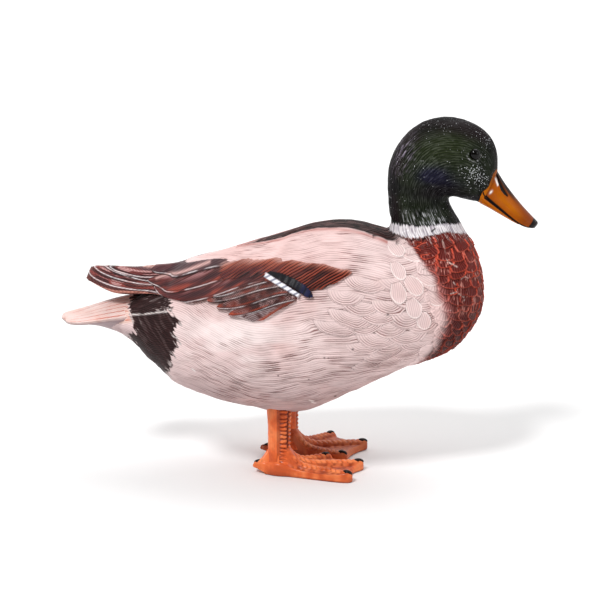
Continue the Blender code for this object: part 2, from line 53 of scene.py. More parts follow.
# ---------------------------------------------------------------- driving sizes (mm)
# Trunk, neck and head are one tube. Each station is a flat section through the body:
# dorsal point (x, z), ventral point (x, z), half width, height of the widest level
# as a share of the way down, and the roundness of the upper and of the lower half.
STATIONS = (
    ("rump_tip", (-160, 132.0), (-160, 116.0), 15, 0.50, 2.0, 2.0),
    ("tail_root", (-138, 140.0), (-138, 103.0), 29, 0.45, 2.1, 1.9),
    ("vent", (-124, 147.0), (-124, 89.0), 39, 0.45, 2.1, 1.9),
    ("rump", (-110, 154.5), (-110, 76.5), 47, 0.47, 2.1, 2.0),
    ("scapular_tips", (-97, 169.0), (-97, 67.0), 54, 0.48, 2.1, 2.0),
    ("thigh", (-69, 178.3), (-69, 57.5), 63, 0.49, 2.1, 2.1),
    ("flank", (-41, 187.0), (-41, 51.5), 69, 0.50, 2.1, 2.1),
    ("belly", (-12, 196.5), (-12, 47.5), 73, 0.50, 2.1, 2.1),
    ("keel", (16, 204.5), (16, 52.5), 74, 0.50, 2.1, 2.1),
    ("shoulder", (41, 206.3), (43, 65.0), 73, 0.50, 2.1, 2.1),
    ("saddle_front", (56, 204.0), (72, 79.5), 70, 0.51, 2.1, 2.1),
    ("breast_cut", (66, 201.3), (101, 92.8), 65, 0.53, 2.1, 2.1),
    ("breast_low", (69.0, 200.3), (127.5, 105.5), 58, 0.55, 2.1, 2.1),
    ("breast_full", (70.3, 200.6), (146.2, 132.0), 50, 0.56, 2.1, 2.1),
    ("breast_high", (71.0, 201.1), (148.3, 157.5), 43.5, 0.56, 2.1, 2.1),
    ("crop", (71.6, 201.9), (142, 183.3), 36.5, 0.54, 2.1, 2.1),
    ("ring_low", (72.0, 203.1), (135, 196.8), 31.5, 0.52, 2.1, 2.1),
    ("ring_high", (72.6, 208.8), (129.2, 206.8), 27.2, 0.50, 2.1, 2.1),
    ("neck", (71.4, 218.3), (122.5, 217.8), 23.8, 0.49, 2.1, 2.1),
    ("neck_high", (70.6, 229.3), (120.3, 224.1), 22.6, 0.49, 2.1, 2.1),
    ("nape", (70.2, 241.5), (121.2, 225.9), 23.4, 0.49, 2.1, 2.1),
    ("nape_high", (72.2, 254.5), (123.2, 226.3), 25.2, 0.50, 2.1, 2.1),
    ("cheek_back", (79.0, 269.0), (126.2, 225.9), 27.0, 0.51, 2.1, 2.1),
    ("crown_back", (93.0, 283.3), (130.0, 225.1), 28.2, 0.50, 2.1, 2.1),
    ("crown", (114.0, 290.3), (134.2, 224.1), 28.0, 0.49, 2.1, 2.1),
    ("brow", (133.8, 287.0), (138.0, 223.2), 25.6, 0.50, 2.1, 2.1),
    ("forehead", (149.0, 278.0), (141.0, 222.5), 21.2, 0.52, 2.1, 2.1),
    ("lore", (157.0, 264.0), (143.0, 221.9), 17.0, 0.56, 2.1, 2.1),
    ("bill_base", (158.2, 248.0), (144.6, 221.3), 13.2, 0.60, 2.2, 2.1),
)
# Bill: culmen point, underside point, half width, share of the way down where the mouth line runs.
BILL = (
    ("base", (158.0, 246.9), (144.8, 221.1), 12.6, 0.74),
    ("nostril", (163.8, 237.9), (151.0, 217.9), 11.9, 0.75),
    ("middle", (170.2, 229.5), (158.2, 213.9), 11.4, 0.77),
    ("taper", (176.4, 222.0), (165.4, 209.9), 11.5, 0.81),
    ("spoon", (182.4, 215.4), (172.8, 206.2), 11.9, 0.87),
    ("spoon_end", (187.2, 210.5), (180.0, 203.7), 11.2, 0.93),
    ("tip", (190.8, 207.0), (186.6, 202.6), 7.4, 0.97),
)
LOWER_BILL_END = 0.70  # share of the bill's length that the lower mandible reaches
NAIL_CUT = 0.93  # share of the bill's length where its nail begins
EYE_CENTRE = (138.6, 20.6, 262.6)
EYE_RADIUS = 4.9
# Tail: x and z of the fan's edges, height of the dome between them, half width, z of the keel underneath.
TAIL = (
    ("root", -112, 131.0, 15.0, 20, 99.0),
    ("coverts", -128, 129.5, 14.5, 25, 99.5),
    ("fan_start", -142, 128.0, 13.5, 28.5, 105.5),
    ("fan_middle", -158, 126.3, 11.0, 31.5, 112.0),
    ("fan_wide", -174, 124.6, 7.2, 34, 117.0),
    ("fan_end", -187, 123.8, 3.8, 27, 120.2),
    ("tip", -196.8, 123.8, 1.4, 9, 121.8),
)
TAIL_EDGE = 2.2  # thickness of the fan's edge
TAIL_CUT = -138.0
# Wing, seen from the side: x, z of the upper and of the lower edge, and how far the folded
# wing stands clear of the trunk (1 = on the trunk, 0 = free of it).
WING = (
    ("bend", (45, 175.8), (45, 174.6), 1.0),
    ("lesser_coverts", (31, 182.3), (31.5, 166.5), 1.0),
    ("coverts", (8, 185.3), (14, 155.0), 1.0),
    ("speculum", (-22, 183.6), (-8, 144.0), 1.0),
    ("secondaries", (-50, 179.2), (-32, 136.5), 1.0),
    ("tertials", (-78, 174.0), (-60, 140.5), 1.0),
    ("tertial_tips", (-100, 169.0), (-85, 146.5), 0.85),
    ("wrist_fold", (-120, 166.8), (-106, 148.0), 0.5),
    ("primaries", (-138, 165.0), (-130, 146.2), 0.15),
    ("primary_ends", (-158, 165.2), (-152, 147.8), 0.0),
    ("tip", (-173.0, 164.8), (-174.5, 157.5), 0.0),
)
WING_PROUD = 3.2  # how far the folded wing stands out from the trunk
WING_SINK = 1.6  # and how much less it does at its rim
WING_DEEP = 11.0  # how deep its blank reaches before the trunk is cut away from it
WING_THICK = 6.5  # thickness of the free primaries, measured across the body
WING_BLEND = 2.5  # softness of the turn from lying on the trunk to standing free of it
WING_RIDGE_Y = 2.2  # half distance between the two folded wings over the rump
WING_EAVE_Y = 23.0  # half width of the folded primaries
PRIMARIES_CUT = -112.0  # x where the primaries part from the rest of the wing
RUMP_CUT = -104.0  # x where the rump parts from the back and the belly
BACK_CUT = ((40, 166.0), (-104, 156.0))  # side view of the cut between back and belly, under the wings
# Legs and feet
LEG = {"right": (-15.5, -26.0), "left": (-13.5, 26.0)}  # ankle x, y
LEG_HALF = (9.0, 7.6)  # half depth and half width of the tarsus
LEG_RIDGE = 1.1  # height of the scute ridge down the front
LEG_TOP = 74.0
FOOT_CUT = 15.0
# Toes: heading from straight ahead (degrees, outward positive), length, from the ankle.
TOES = {
    "right": (("inner", -35, 50), ("middle", -9, 71), ("outer", 20, 66), ("hind", 176, 21)),
    "left": (("inner", -23, 58), ("middle", 13, 71), ("outer", 45, 55), ("hind", 205, 22)),
}
WEB_DIP = 0.88  # reach of the web between two toes, as a share of their mean length
WEB_THICK = 6.0
TOE_THICK = 9.2
TOE_HALF = 5.4
ANKLE_HALF = 10.5
HEEL_FLARE = 5.5  # extra width of the sole on the outer side of the ankle
INSTEP = 15.0
CLAW = (4.2, 2.6, 2.2)  # half length, half width, half height
RING_POINTS = 24

# ---------------------------------------------------------------- shape functions
def spline(values, at):
    """Natural cubic spline through rows of values at 0, 1, 2..., read at the places given."""
    y = np.asarray(values, float)
    n = len(y)
    at = np.clip(np.asarray(at, float), 0, n - 1)
    system = np.eye(n)
    right = np.zeros_like(y)
    for i in range(1, n - 1):
        system[i, i - 1 : i + 2] = (1, 4, 1)
        right[i] = 6 * (y[i + 1] - 2 * y[i] + y[i - 1])
    bend = np.linalg.solve(system, right)
    i = np.minimum(at.astype(int), n - 2)
    t = (at - i)[..., None]
    a, b, ma, mb = y[i], y[i + 1], bend[i], bend[i + 1]
    return (
        a * (1 - t) + b * t + ((1 - t) ** 3 - (1 - t)) * ma / 6 + (t**3 - t) * mb / 6
    )


def tube_values(s):
    """Dorsal x, z, ventral x, z, half width, widest share and the two exponents at station number s."""
    table = [
        (d[0], d[1], v[0], v[1], hw, wide, top, low)
        for _, d, v, hw, wide, top, low in STATIONS
    ]
    return spline(table, s)


def station(name):
    return [row[0] for row in STATIONS].index(name)


def tube_point(s, angle, grow=0.0):
    """Points of the body's surface at station s; angle 0 is the back, pi/2 the left side, pi the belly."""
    v = tube_values(s)
    d, b = v[..., 0:2], v[..., 2:4]
    axis = d - b
    length = np.linalg.norm(axis, axis=-1, keepdims=True)
    axis = axis / length
    d, b = d + axis * grow, b - axis * grow
    length = length[..., 0] + 2 * grow
    half, wide, top, low = v[..., 4] + grow, v[..., 5], v[..., 6], v[..., 7]
    up = np.cos(angle) >= 0
    power = np.where(up, top, low)
    reach = np.where(up, wide, 1 - wide) * length
    rise = np.sign(np.cos(angle)) * np.abs(np.cos(angle)) ** (2 / power) * reach
    side = np.sign(np.sin(angle)) * np.abs(np.sin(angle)) ** (2 / power) * half
    middle = d - axis * (wide * length)[..., None]
    flat = middle + axis * rise[..., None]
    return np.stack([flat[..., 0], side, flat[..., 1]], -1)


def trunk_side(x, z):
    """Half width of the trunk at x and height z, where the sections stand upright."""
    s = np.linspace(0, station("shoulder"), 400)
    v = tube_values(s)
    at = np.interp(x, (v[:, 0] + v[:, 2]) / 2, s)
    v = tube_values(at)
    top, low, half, wide, power = v[..., 1], v[..., 3], v[..., 4], v[..., 5], v[..., 6]
    level = top - (top - low) * wide
    share = np.where(z > level, (z - level) / (top - level), (level - z) / (level - low))
    return half * np.clip(1 - np.clip(share, 0, 1) ** power, 0, 1) ** (1 / power)


def wing_point(u, v):
    """Middle surface of the left wing's outer face: u runs from the bend to the tip, v from the upper to the lower edge."""
    table = [(t[0], t[1], b[0], b[1], on) for _, t, b, on in WING]
    w = spline(table, u * (len(WING) - 1))
    x = w[..., 0] * (1 - v) + w[..., 2] * v
    z = w[..., 1] * (1 - v) + w[..., 3] * v
    on = np.clip(w[..., 4], 0, 1)
    roof = WING_RIDGE_Y + (WING_EAVE_Y - WING_RIDGE_Y) * v**0.8
    roof = roof * (1 - 0.45 * np.clip((-x - 150) / 40, 0, 1))
    lying = trunk_side(x, z) + WING_PROUD
    clear = WING_BLEND * np.log(np.exp(lying / WING_BLEND) + np.exp(roof / WING_BLEND))
    return np.stack([x, on * lying + (1 - on) * clear, z], -1)


def bill_values(s):
    table = [(d[0], d[1], v[0], v[1], hw, m) for _, d, v, hw, m in BILL]
    return spline(table, s)


def apart(heading, angle):
    """Angle between two headings, in degrees, signed."""
    return (heading - angle + 180) % 360 - 180


def foot_reach(side, heading):
    """How far the foot reaches from the ankle in a direction (degrees, outward positive)."""
    toes = {name: (angle, length) for name, angle, length in TOES[side]}
    order = [toes["inner"], toes["middle"], toes["outer"]]
    flare = np.clip(np.cos(np.radians(apart(heading, 70)) * 1.15), 0, 1)
    reach = ANKLE_HALF + HEEL_FLARE * flare
    for (a0, l0), (a1, l1) in zip(order, order[1:]):
        t = (heading - a0) / (a1 - a0)
        inside = (t >= 0) & (t <= 1)
        dip = 1 - (1 - WEB_DIP) * np.sin(np.pi * np.clip(t, 0, 1)) ** 0.8
        reach = np.where(inside, (l0 * (1 - t) + l1 * t) * dip, reach)
    for angle, length in toes.values():
        off = np.radians(np.abs(apart(heading, angle)))
        middle = length - TOE_HALF
        side_on = TOE_HALF / np.maximum(np.sin(np.clip(off, 1e-3, math.pi / 2)), 1e-6)
        inner = TOE_HALF**2 - (middle * np.sin(off)) ** 2
        end_on = middle * np.cos(off) + np.sqrt(np.clip(inner, 0, None))
        toe = np.where(off >= math.pi / 2, 0, np.where(inner > 0, end_on, side_on))
        reach = np.maximum(reach, toe)
    return reach


def foot_top(side, heading, distance):
    """Height of the foot's upper face at a distance from the ankle."""
    height = np.full(np.shape(heading), WEB_THICK)
    for name, angle, length in TOES[side]:
        off = np.radians(apart(heading, angle))
        along, beside = distance * np.cos(off), distance * np.abs(np.sin(off))
        bump = np.clip(1 - (beside / TOE_HALF) ** 2, 0, 1) ** 0.5 * (along > 0)
        rise = TOE_THICK * (1 - 0.10 * np.clip(along / length, 0, 1))
        height = np.maximum(height, WEB_THICK + (rise - WEB_THICK) * bump)
    behind = np.cos(np.radians(apart(heading, TOES[side][3][1])))
    spread = 14.0 - 4.5 * np.clip(behind, 0, 1)
    return height + INSTEP * np.exp(-((distance / spread) ** 2))




# ---------------------------------------------------------------- numbers
def smooth(lo, hi, x):
    """0 below lo, 1 above hi, a soft step between."""
    t = np.clip((x - lo) / (hi - lo), 0, 1)
    return t * t * (3 - 2 * t)


def mix(a, b, t):
    return a + (b - a) * t[..., None]


def lattice(i, j, k, seed):
    with np.errstate(over="ignore"):
        n = i * np.uint32(374761393) + j * np.uint32(668265263) + k * np.uint32(2147483647)
        n = (n ^ np.uint32(seed * 974634777 % 4294967296)) * np.uint32(1274126177)
        n = (n ^ (n >> np.uint32(15))) * np.uint32(2246822519)
        n = n ^ (n >> np.uint32(13))
    return n.astype(np.float64) / 4294967295.0


def noise(points, size, seed=0):
    """Smooth value noise, 0 to 1, with blobs about size mm across. size may be one number or three."""
    q = points / np.asarray(size, float) + 1000.37
    f = np.floor(q)
    t = q - f
    t = t * t * (3 - 2 * t)
    i, j, k = (f[..., n].astype(np.uint32) for n in range(3))
    one = np.uint32(1)
    out = 0
    for di, wi in ((0, 1 - t[..., 0]), (1, t[..., 0])):
        for dj, wj in ((0, 1 - t[..., 1]), (1, t[..., 1])):
            for dk, wk in ((0, 1 - t[..., 2]), (1, t[..., 2])):
                out = out + wi * wj * wk * lattice(i + one * di, j + one * dj, k + one * dk, seed)
    return out


def fractal(points, size, seed=0, octaves=3):
    out, total, weight = 0, 0, 1.0
    for n in range(octaves):
        out = out + weight * noise(points, np.asarray(size, float) / 2**n, seed + 17 * n)
        total += weight
        weight *= 0.5
    return out / total


def rgb(r, g, b):
    """A paint's linear colour from its usual 0-255 numbers."""
    c = np.array([r, g, b], float) / 255
    return np.where(c <= 0.04045, c / 12.92, ((c + 0.055) / 1.055) ** 2.4)


def grid_normals(points, wrap):
    """Unit normals of a grid of points (rows, columns, 3); wrap says that the last column meets the first."""
    if wrap:
        wide = np.concatenate([points[:, -1:], points, points[:, :1]], 1)
        across = (wide[:, 2:] - wide[:, :-2]) * 0.5
    else:
        across = np.gradient(points, axis=1)
    along = np.gradient(points, axis=0)
    n = np.cross(along, across)
    return n / np.maximum(np.linalg.norm(n, axis=-1, keepdims=True), 1e-12)


# ---------------------------------------------------------------- feathers
# kind: lift of the tip, crown across, rim height, rim width, groove pitch, groove depth, where the tip starts to
# round, width at the root, line pattern (0 comb, 1 fan, 2 barbs on both sides of a shaft, 3 slanted one way), angle
KINDS = {
    "none": (0.0, 0.0, 0.0, 1.0, 2.0, 0.0, 0.5, 1.0, 0, 0),
    "breast": (1.20, 0.10, 0.85, 0.95, 1.5, 0.12, 0.72, 0.92, 1, 0),
    "shoulder": (0.85, 0.50, 0.35, 0.45, 1.6, 0.08, 0.50, 0.55, 3, 10),
    "arc": (0.75, 0.25, 0.10, 0.50, 2.05, 0.50, 0.35, 0.80, 4, 0),
    "secondary": (0.35, 0.35, 0.12, 0.5, 1.25, 0.12, 0.62, 0.80, 2, 34),
    "tertial": (0.45, 0.45, 0.15, 0.6, 1.3, 0.13, 0.66, 0.70, 3, 14),
    "primary": (0.25, 0.35, 0.15, 0.5, 1.4, 0.10, 0.85, 0.80, 2, 26),
    "tail": (0.3, 0.3, 0.10, 0.6, 1.5, 0.12, 0.86, 0.55, 2, 14),
}
KIND_NAMES = list(KINDS)
KIND_TABLE = np.array([KINDS[k] for k in KIND_NAMES], float)


class Coat:
    """The carved feathers of one grid of points. At each point it keeps the feather that lies uppermost."""

    def __init__(self, points, normals):
        shape = points.shape[:2]
        self.points, self.normals = points, normals
        self.key = np.full(shape, -1e9)
        self.kind = np.zeros(shape, int)
        self.along = np.zeros(shape)  # mm from the root
        self.beside = np.zeros(shape)  # mm from the shaft, signed
        self.length = np.ones(shape)
        self.half = np.ones(shape)
        self.reach = np.ones(shape)  # half the width left where the tip narrows
        self.edge = np.ones(shape)  # 0 on the shaft's middle, 1 at the rim
        self.seed = np.zeros(shape)
        self.base = np.zeros(shape)
        self.tilt = np.zeros(shape)
        self.number = np.full(shape, -1)
        self.tags = []

    def lay(self, window, along, beside, length, width, kind, level=0.0, seed=0.0, allowed=None, base=None, tilt=0.0, tag=""):
        """One feather. along and beside are distances from its root and its shaft at each point of the window; level
        decides which feather lies uppermost, base lifts it all, tilt lifts the side where beside is positive."""
        row = KINDS[kind]
        a = along / length
        start, root = row[6], row[7]
        half = width / 2 * (root + (1 - root) * np.sin(np.pi / 2 * np.clip(a / start, 0, 1)))
        beyond = np.maximum(a - start, 0) / (1 - start)
        edge = np.sqrt(beyond**2 + (beside / half) ** 2)
        key = level + row[0] * a
        here = (edge < 1) & (a > 0) & (key > self.key[window])
        if allowed is not None:
            here &= allowed
        for name, value in (
            ("key", key),
            ("kind", KIND_NAMES.index(kind)),
            ("along", along),
            ("beside", beside),
            ("length", length),
            ("half", half),
            ("reach", half * np.sqrt(np.clip(1 - beyond**2, 0, 1))),
            ("edge", edge),
            ("seed", seed),
            ("base", level if base is None else base),
            ("tilt", tilt),
            ("number", len(self.tags)),
        ):
            field = getattr(self, name)[window]
            field[here] = value[here] if isinstance(value, np.ndarray) else value
            getattr(self, name)[window] = field
        self.tags.append(tag or kind)

    def tagged(self, tag):
        """Where the uppermost feather carries this tag."""
        hit = np.array([t == tag for t in self.tags] + [False])
        return hit[self.number]

    def phase(self):
        """Which groove line a point is on, counted across the lines, and how far along them it is."""
        row = KIND_TABLE[self.kind]
        pitch, style, angle = row[..., 4], row[..., 8], np.radians(row[..., 9])
        a, b = self.along, self.beside
        warp = 0.8 * np.sin(a / 9 + self.seed * 20)
        comb = (b * (1 - 0.25 * a / self.length) + warp) / pitch
        fan = np.arctan2(b, a + 0.30 * self.length) * self.length * 0.75 / pitch
        barbs = (np.abs(b) * np.cos(angle) - a * np.sin(angle)) / pitch
        slant = (b * np.cos(angle) + a * np.sin(angle) + 0.5 * warp) / pitch
        rings = ((1 - self.edge) * self.half + 0.25 * warp) / pitch
        across = np.choose(style.astype(int), [comb, fan, barbs, slant, rings])
        return across + self.seed * 7.0

    def relief(self):
        """Height of the carving in mm, the ridge share and the recess share."""
        row = KIND_TABLE[self.kind]
        lift, crown, rim, rim_width, depth = (row[..., n] for n in (0, 1, 2, 3, 5))
        a = self.along / self.length
        rounded = 1 - np.clip(np.abs(self.beside) / self.half, 0, 1) ** 2
        from_rim = (1 - self.edge) * self.half
        ridge = np.exp(-(((from_rim - rim_width * 0.8) / rim_width) ** 2))
        line = (0.5 + 0.5 * np.cos(2 * np.pi * self.phase())) ** 1.5
        fade = smooth(0.3, 1.6, from_rim) * (0.25 + 1.5 * noise(self.points, 15, 3))
        ringed = np.where(row[..., 8] == 4, smooth(0.35, 0.85, a), 1)
        fade, ridge = fade * ringed, ridge * ringed
        height = self.base + lift * a + crown * (rounded - 0.5) + rim * ridge - depth * line * fade * 0.7
        height += self.tilt * np.clip(self.beside / self.half, -1, 1)
        height -= 0.35 * lift * np.exp(-((from_rim / 0.5) ** 2))
        return np.where(self.number < 0, 0, height), ridge * (self.number >= 0), line * fade


def window_of(coat, r, c, reach_rows, reach_cols, wrap):
    rows, cols = coat.points.shape[:2]
    rs = np.arange(max(r - reach_rows[0], 0), min(r + reach_rows[1] + 1, rows))
    cs = np.arange(c - reach_cols, c + reach_cols + 1)
    cs = np.unique(cs % cols) if wrap else cs[(cs >= 0) & (cs < cols)]
    return np.ix_(rs, cs)


# ---------------------------------------------------------------- meshes
def surface_piece(name, points, normals, faces, uv, paint, mask, lines, material, replaces, tris=None):
    """One mesh from arrays. faces are rows of four vertex numbers, tris rows of three, uv is one pair per vertex."""
    mesh = bpy.data.meshes.new(name)
    flat = points.reshape(-1, 3).copy()
    flat[:, 0] += FORWARD
    flat *= MM
    tris = np.zeros((0, 3), int) if tris is None else tris
    loops = np.concatenate([faces.ravel(), tris.ravel()])
    starts = np.concatenate([np.arange(len(faces)) * 4, len(faces) * 4 + np.arange(len(tris)) * 3])
    corners = flat[faces[:, :3]] if len(faces) else flat[tris]
    facing = np.cross(corners[:, 1] - corners[:, 0], corners[:, 2] - corners[:, 0])
    owner = faces[:, 0] if len(faces) else tris[:, 0]
    if (facing * normals.reshape(-1, 3)[owner]).sum() < 0:
        faces, tris = faces[:, ::-1], tris[:, ::-1]
        loops = np.concatenate([faces.ravel(), tris.ravel()])
    mesh.vertices.add(len(flat))
    mesh.vertices.foreach_set("co", flat.astype(np.float32).ravel())
    mesh.loops.add(len(loops))
    mesh.loops.foreach_set("vertex_index", loops.astype(np.int32))
    mesh.polygons.add(len(starts))
    mesh.polygons.foreach_set("loop_start", starts.astype(np.int32))
    mesh.update(calc_edges=True)
    layer = mesh.uv_layers.new(name="OFBake")
    corner = uv[loops]
    layer.data.foreach_set("uv", corner.astype(np.float32).ravel())
    for label, kind, data in (
        ("paint", "FLOAT_COLOR", np.concatenate([paint.reshape(-1, 3), np.ones((len(flat), 1))], 1)),
        ("mask", "FLOAT_COLOR", mask.reshape(-1, 4)),
        ("lines", "FLOAT_VECTOR", lines.reshape(-1, 3)),
    ):
        made = mesh.attributes.new(label, kind, "POINT")
        made.data.foreach_set("color" if kind == "FLOAT_COLOR" else "vector", data.astype(np.float32).ravel())
    mesh.polygons.foreach_set("use_smooth", np.ones(len(starts), bool))
    mesh.validate()
    mesh.normals_split_custom_set_from_vertices(normals.reshape(-1, 3).astype(np.float32))
    mesh.materials.append(material)
    thing = bpy.data.objects.new(name, mesh)
    bpy.context.scene.collection.objects.link(thing)
    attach(thing, "root")
    if replaces:
        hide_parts(*replaces)
    return thing


def quads(index):
    return np.stack([index[:-1, :-1], index[:-1, 1:], index[1:, 1:], index[1:, :-1]], -1).reshape(-1, 4)


def flat_map(points, rows, cols, length=None, height=None):
    """A grid's own unwrap: rows up the map, columns along it, to scale, one pair per point."""
    wide = np.linalg.norm(np.diff(points, axis=1), axis=-1).sum(1).max() if length is None else length
    tall = np.linalg.norm(np.diff(points, axis=0), axis=-1).sum(0).max() if height is None else height
    scale = 0.98 / max(wide, tall)
    v, u = np.meshgrid(np.linspace(0, tall, rows), np.linspace(0, wide, cols), indexing="ij")
    return np.stack([u, v], -1).reshape(-1, 2) * scale + 0.01


def outward(points, normals):
    """Turns the normals of a closed tube of points so that they point away from its middle line."""
    away = points - points.mean(1, keepdims=True)
    return normals if (away * normals).sum() > 0 else -normals


def whole_tube(name, points, paint, mask, lines, material, replaces):
    """A tube of points whose last column meets its first, as one closed-up grid."""
    normals = outward(points, grid_normals(points, True))
    rows, cols = points.shape[:2]
    take = np.r_[0:cols, 0]
    n = np.arange(rows * (cols + 1)).reshape(rows, cols + 1)
    uv = flat_map(points[:, take], rows, cols + 1)
    return surface_piece(
        name, points[:, take], normals[:, take], quads(n), uv, paint[:, take], mask[:, take], lines[:, take],
        material, replaces,
    )


def split_tube(name, points, normals, paint, mask, lines, row_cuts, col_parts, material, replaces):
    """A closed tube as several pieces whose borders coincide and share their normals."""
    rows, cols = points.shape[:2]
    made = []
    for p, (r0, r1) in enumerate(zip(row_cuts, row_cuts[1:])):
        for q in range(col_parts):
            c0, c1 = q * cols // col_parts, (q + 1) * cols // col_parts
            take = np.ix_(np.arange(r0, r1 + 1), np.arange(c0, c1 + 1) % cols)
            pick = lambda field: field[take]
            local = pick(points)
            n = np.arange(local.shape[0] * local.shape[1]).reshape(local.shape[:2])
            uv = flat_map(local, *n.shape)
            label = "%s_%s" % (name, "abcdefghijklmnop"[p * col_parts + q])
            made.append(
                surface_piece(
                    label, local, pick(normals), quads(n), uv, pick(paint), pick(mask), pick(lines),
                    material, replaces if not made else (),
                )
            )
    return made


# ---------------------------------------------------------------- painted resin
def painted(name, rough=0.36, coat=0.35, coat_rough=0.12, bump=0.00022, streak=0.55, grain=0.00005, gain=1.5, lift=0.03, gloss=0.25, deep=(0.30, 0.17, 0.16), hits=(3.6, -1.0), dots=0.0):
    """Hand-painted resin: the paint, a dark wash held by the recesses, and colour dry-brushed on the ridges, which also
    paints highlights there.

    mask: r ridge share, g wash share, b how deep the fine lines are cut, a how much dry-brush and painted highlight
    they take.
    lines: x counts the lines, y runs along them in mm, z is the feather's own number.
    """
    made = bpy.data.materials.new(name)
    made.use_nodes = True
    tree = made.node_tree
    nodes, links = tree.nodes, tree.links
    shader = nodes["Principled BSDF"]

    def node(kind, **set_to):
        n = nodes.new(kind)
        for key, value in set_to.items():
            if key.startswith("in_"):
                n.inputs[int(key[3:])].default_value = value
            else:
                setattr(n, key, value)
        return n

    def maths(operation, a, b=None, c=None, clamp=False):
        n = node("ShaderNodeMath", operation=operation, use_clamp=clamp)
        for slot_number, value in enumerate((a, b, c)):
            if value is None:
                continue
            if isinstance(value, (int, float)):
                n.inputs[slot_number].default_value = value
            else:
                links.new(value, n.inputs[slot_number])
        return n.outputs[0]

    paint = node("ShaderNodeAttribute", attribute_name="paint").outputs["Color"]
    mask_node = node("ShaderNodeAttribute", attribute_name="mask")
    parts = node("ShaderNodeSeparateColor")
    links.new(mask_node.outputs["Color"], parts.inputs[0])
    ridge, wash, cut = parts.outputs[0], parts.outputs[1], parts.outputs[2]
    brush_and_highlight = mask_node.outputs["Alpha"]
    lines = node("ShaderNodeAttribute", attribute_name="lines").outputs["Vector"]
    split = node("ShaderNodeSeparateXYZ")
    links.new(lines, split.inputs[0])
    # the carved line itself: 1 on the crest between two grooves, 0 in the groove
    wobble = node("ShaderNodeTexNoise", noise_dimensions="3D")
    wobble.inputs["Scale"].default_value = 0.35
    wobble.inputs["Detail"].default_value = 1.0
    links.new(lines, wobble.inputs["Vector"])
    turn = maths("ADD", maths("MULTIPLY", split.outputs[0], 2 * math.pi), maths("MULTIPLY", wobble.outputs[0], 1.2))
    crest = maths("MULTIPLY_ADD", maths("COSINE", turn), -0.5, 0.5)
    # streaks of the brush, long along the lines
    stretch = node("ShaderNodeMapping")
    stretch.inputs["Scale"].default_value = (1.7, 0.16, 3.1)
    links.new(lines, stretch.inputs["Vector"])
    streaks = node("ShaderNodeTexNoise", noise_dimensions="3D")
    streaks.inputs["Scale"].default_value = 1.0
    streaks.inputs["Detail"].default_value = 3.0
    streaks.inputs["Roughness"].default_value = 0.6
    links.new(stretch.outputs[0], streaks.inputs["Vector"])
    place = node("ShaderNodeTexCoord").outputs["Object"]
    blotch = node("ShaderNodeTexNoise", noise_dimensions="3D")
    blotch.inputs["Scale"].default_value = 70.0
    blotch.inputs["Detail"].default_value = 4.0
    links.new(place, blotch.inputs["Vector"])
    fine = node("ShaderNodeTexNoise", noise_dimensions="3D")
    fine.inputs["Scale"].default_value = 900.0
    fine.inputs["Detail"].default_value = 2.0
    links.new(place, fine.inputs["Vector"])
    # wash: darker in the grooves
    groove = maths("MULTIPLY", maths("POWER", maths("SUBTRACT", 1.0, crest), 1.6), cut)
    dark = maths("MULTIPLY", maths("ADD", maths("MULTIPLY", groove, 0.75), wash), streak, clamp=True)
    dark = maths("MULTIPLY", dark, maths("MULTIPLY_ADD", streaks.outputs[0], 1.6, 0.2), clamp=True)
    shade = node("ShaderNodeMixRGB", blend_type="MULTIPLY")
    shade.inputs[2].default_value = (*deep, 1)
    links.new(paint, shade.inputs[1])
    links.new(dark, shade.inputs[0])
    # dry-brush: on ridges and crests, broken up by the streaks; it also paints highlights on the raised lines
    raised = maths("MULTIPLY_ADD", crest, 0.5, 0.45) if dots else maths("ADD", maths("MULTIPLY", crest, 0.5), ridge)
    hit = maths("MULTIPLY", raised, brush_and_highlight)
    hit = maths("MULTIPLY", hit, maths("MULTIPLY_ADD", streaks.outputs[0], hits[0], hits[1], clamp=True), clamp=True)
    brighter = node("ShaderNodeVectorMath", operation="MULTIPLY_ADD")
    brighter.inputs[1].default_value = (gain, gain, gain)
    brighter.inputs[2].default_value = (lift, lift, lift)
    links.new(paint, brighter.inputs[0])
    light = node("ShaderNodeMixRGB", blend_type="MIX")
    links.new(brighter.outputs[0], light.inputs[2])
    links.new(shade.outputs[0], light.inputs[1])
    links.new(hit, light.inputs[0])
    if dots:
        # small pale dots where the brush only touched the grain; r of the mask is how many
        point = node("ShaderNodeTexNoise", noise_dimensions="3D")
        point.inputs["Scale"].default_value = 1050.0
        point.inputs["Detail"].default_value = 0.0
        links.new(place, point.inputs["Vector"])
        need = maths("MULTIPLY_ADD", ridge, 0.20, -0.80)
        seen = maths("MULTIPLY", maths("ADD", point.outputs[0], need), 16.0, clamp=True)
        dotted = node("ShaderNodeMixRGB", blend_type="MIX")
        dotted.inputs[2].default_value = (dots, dots * 1.02, dots * 1.05, 1)
        links.new(light.outputs[0], dotted.inputs[1])
        links.new(seen, dotted.inputs[0])
        light = dotted
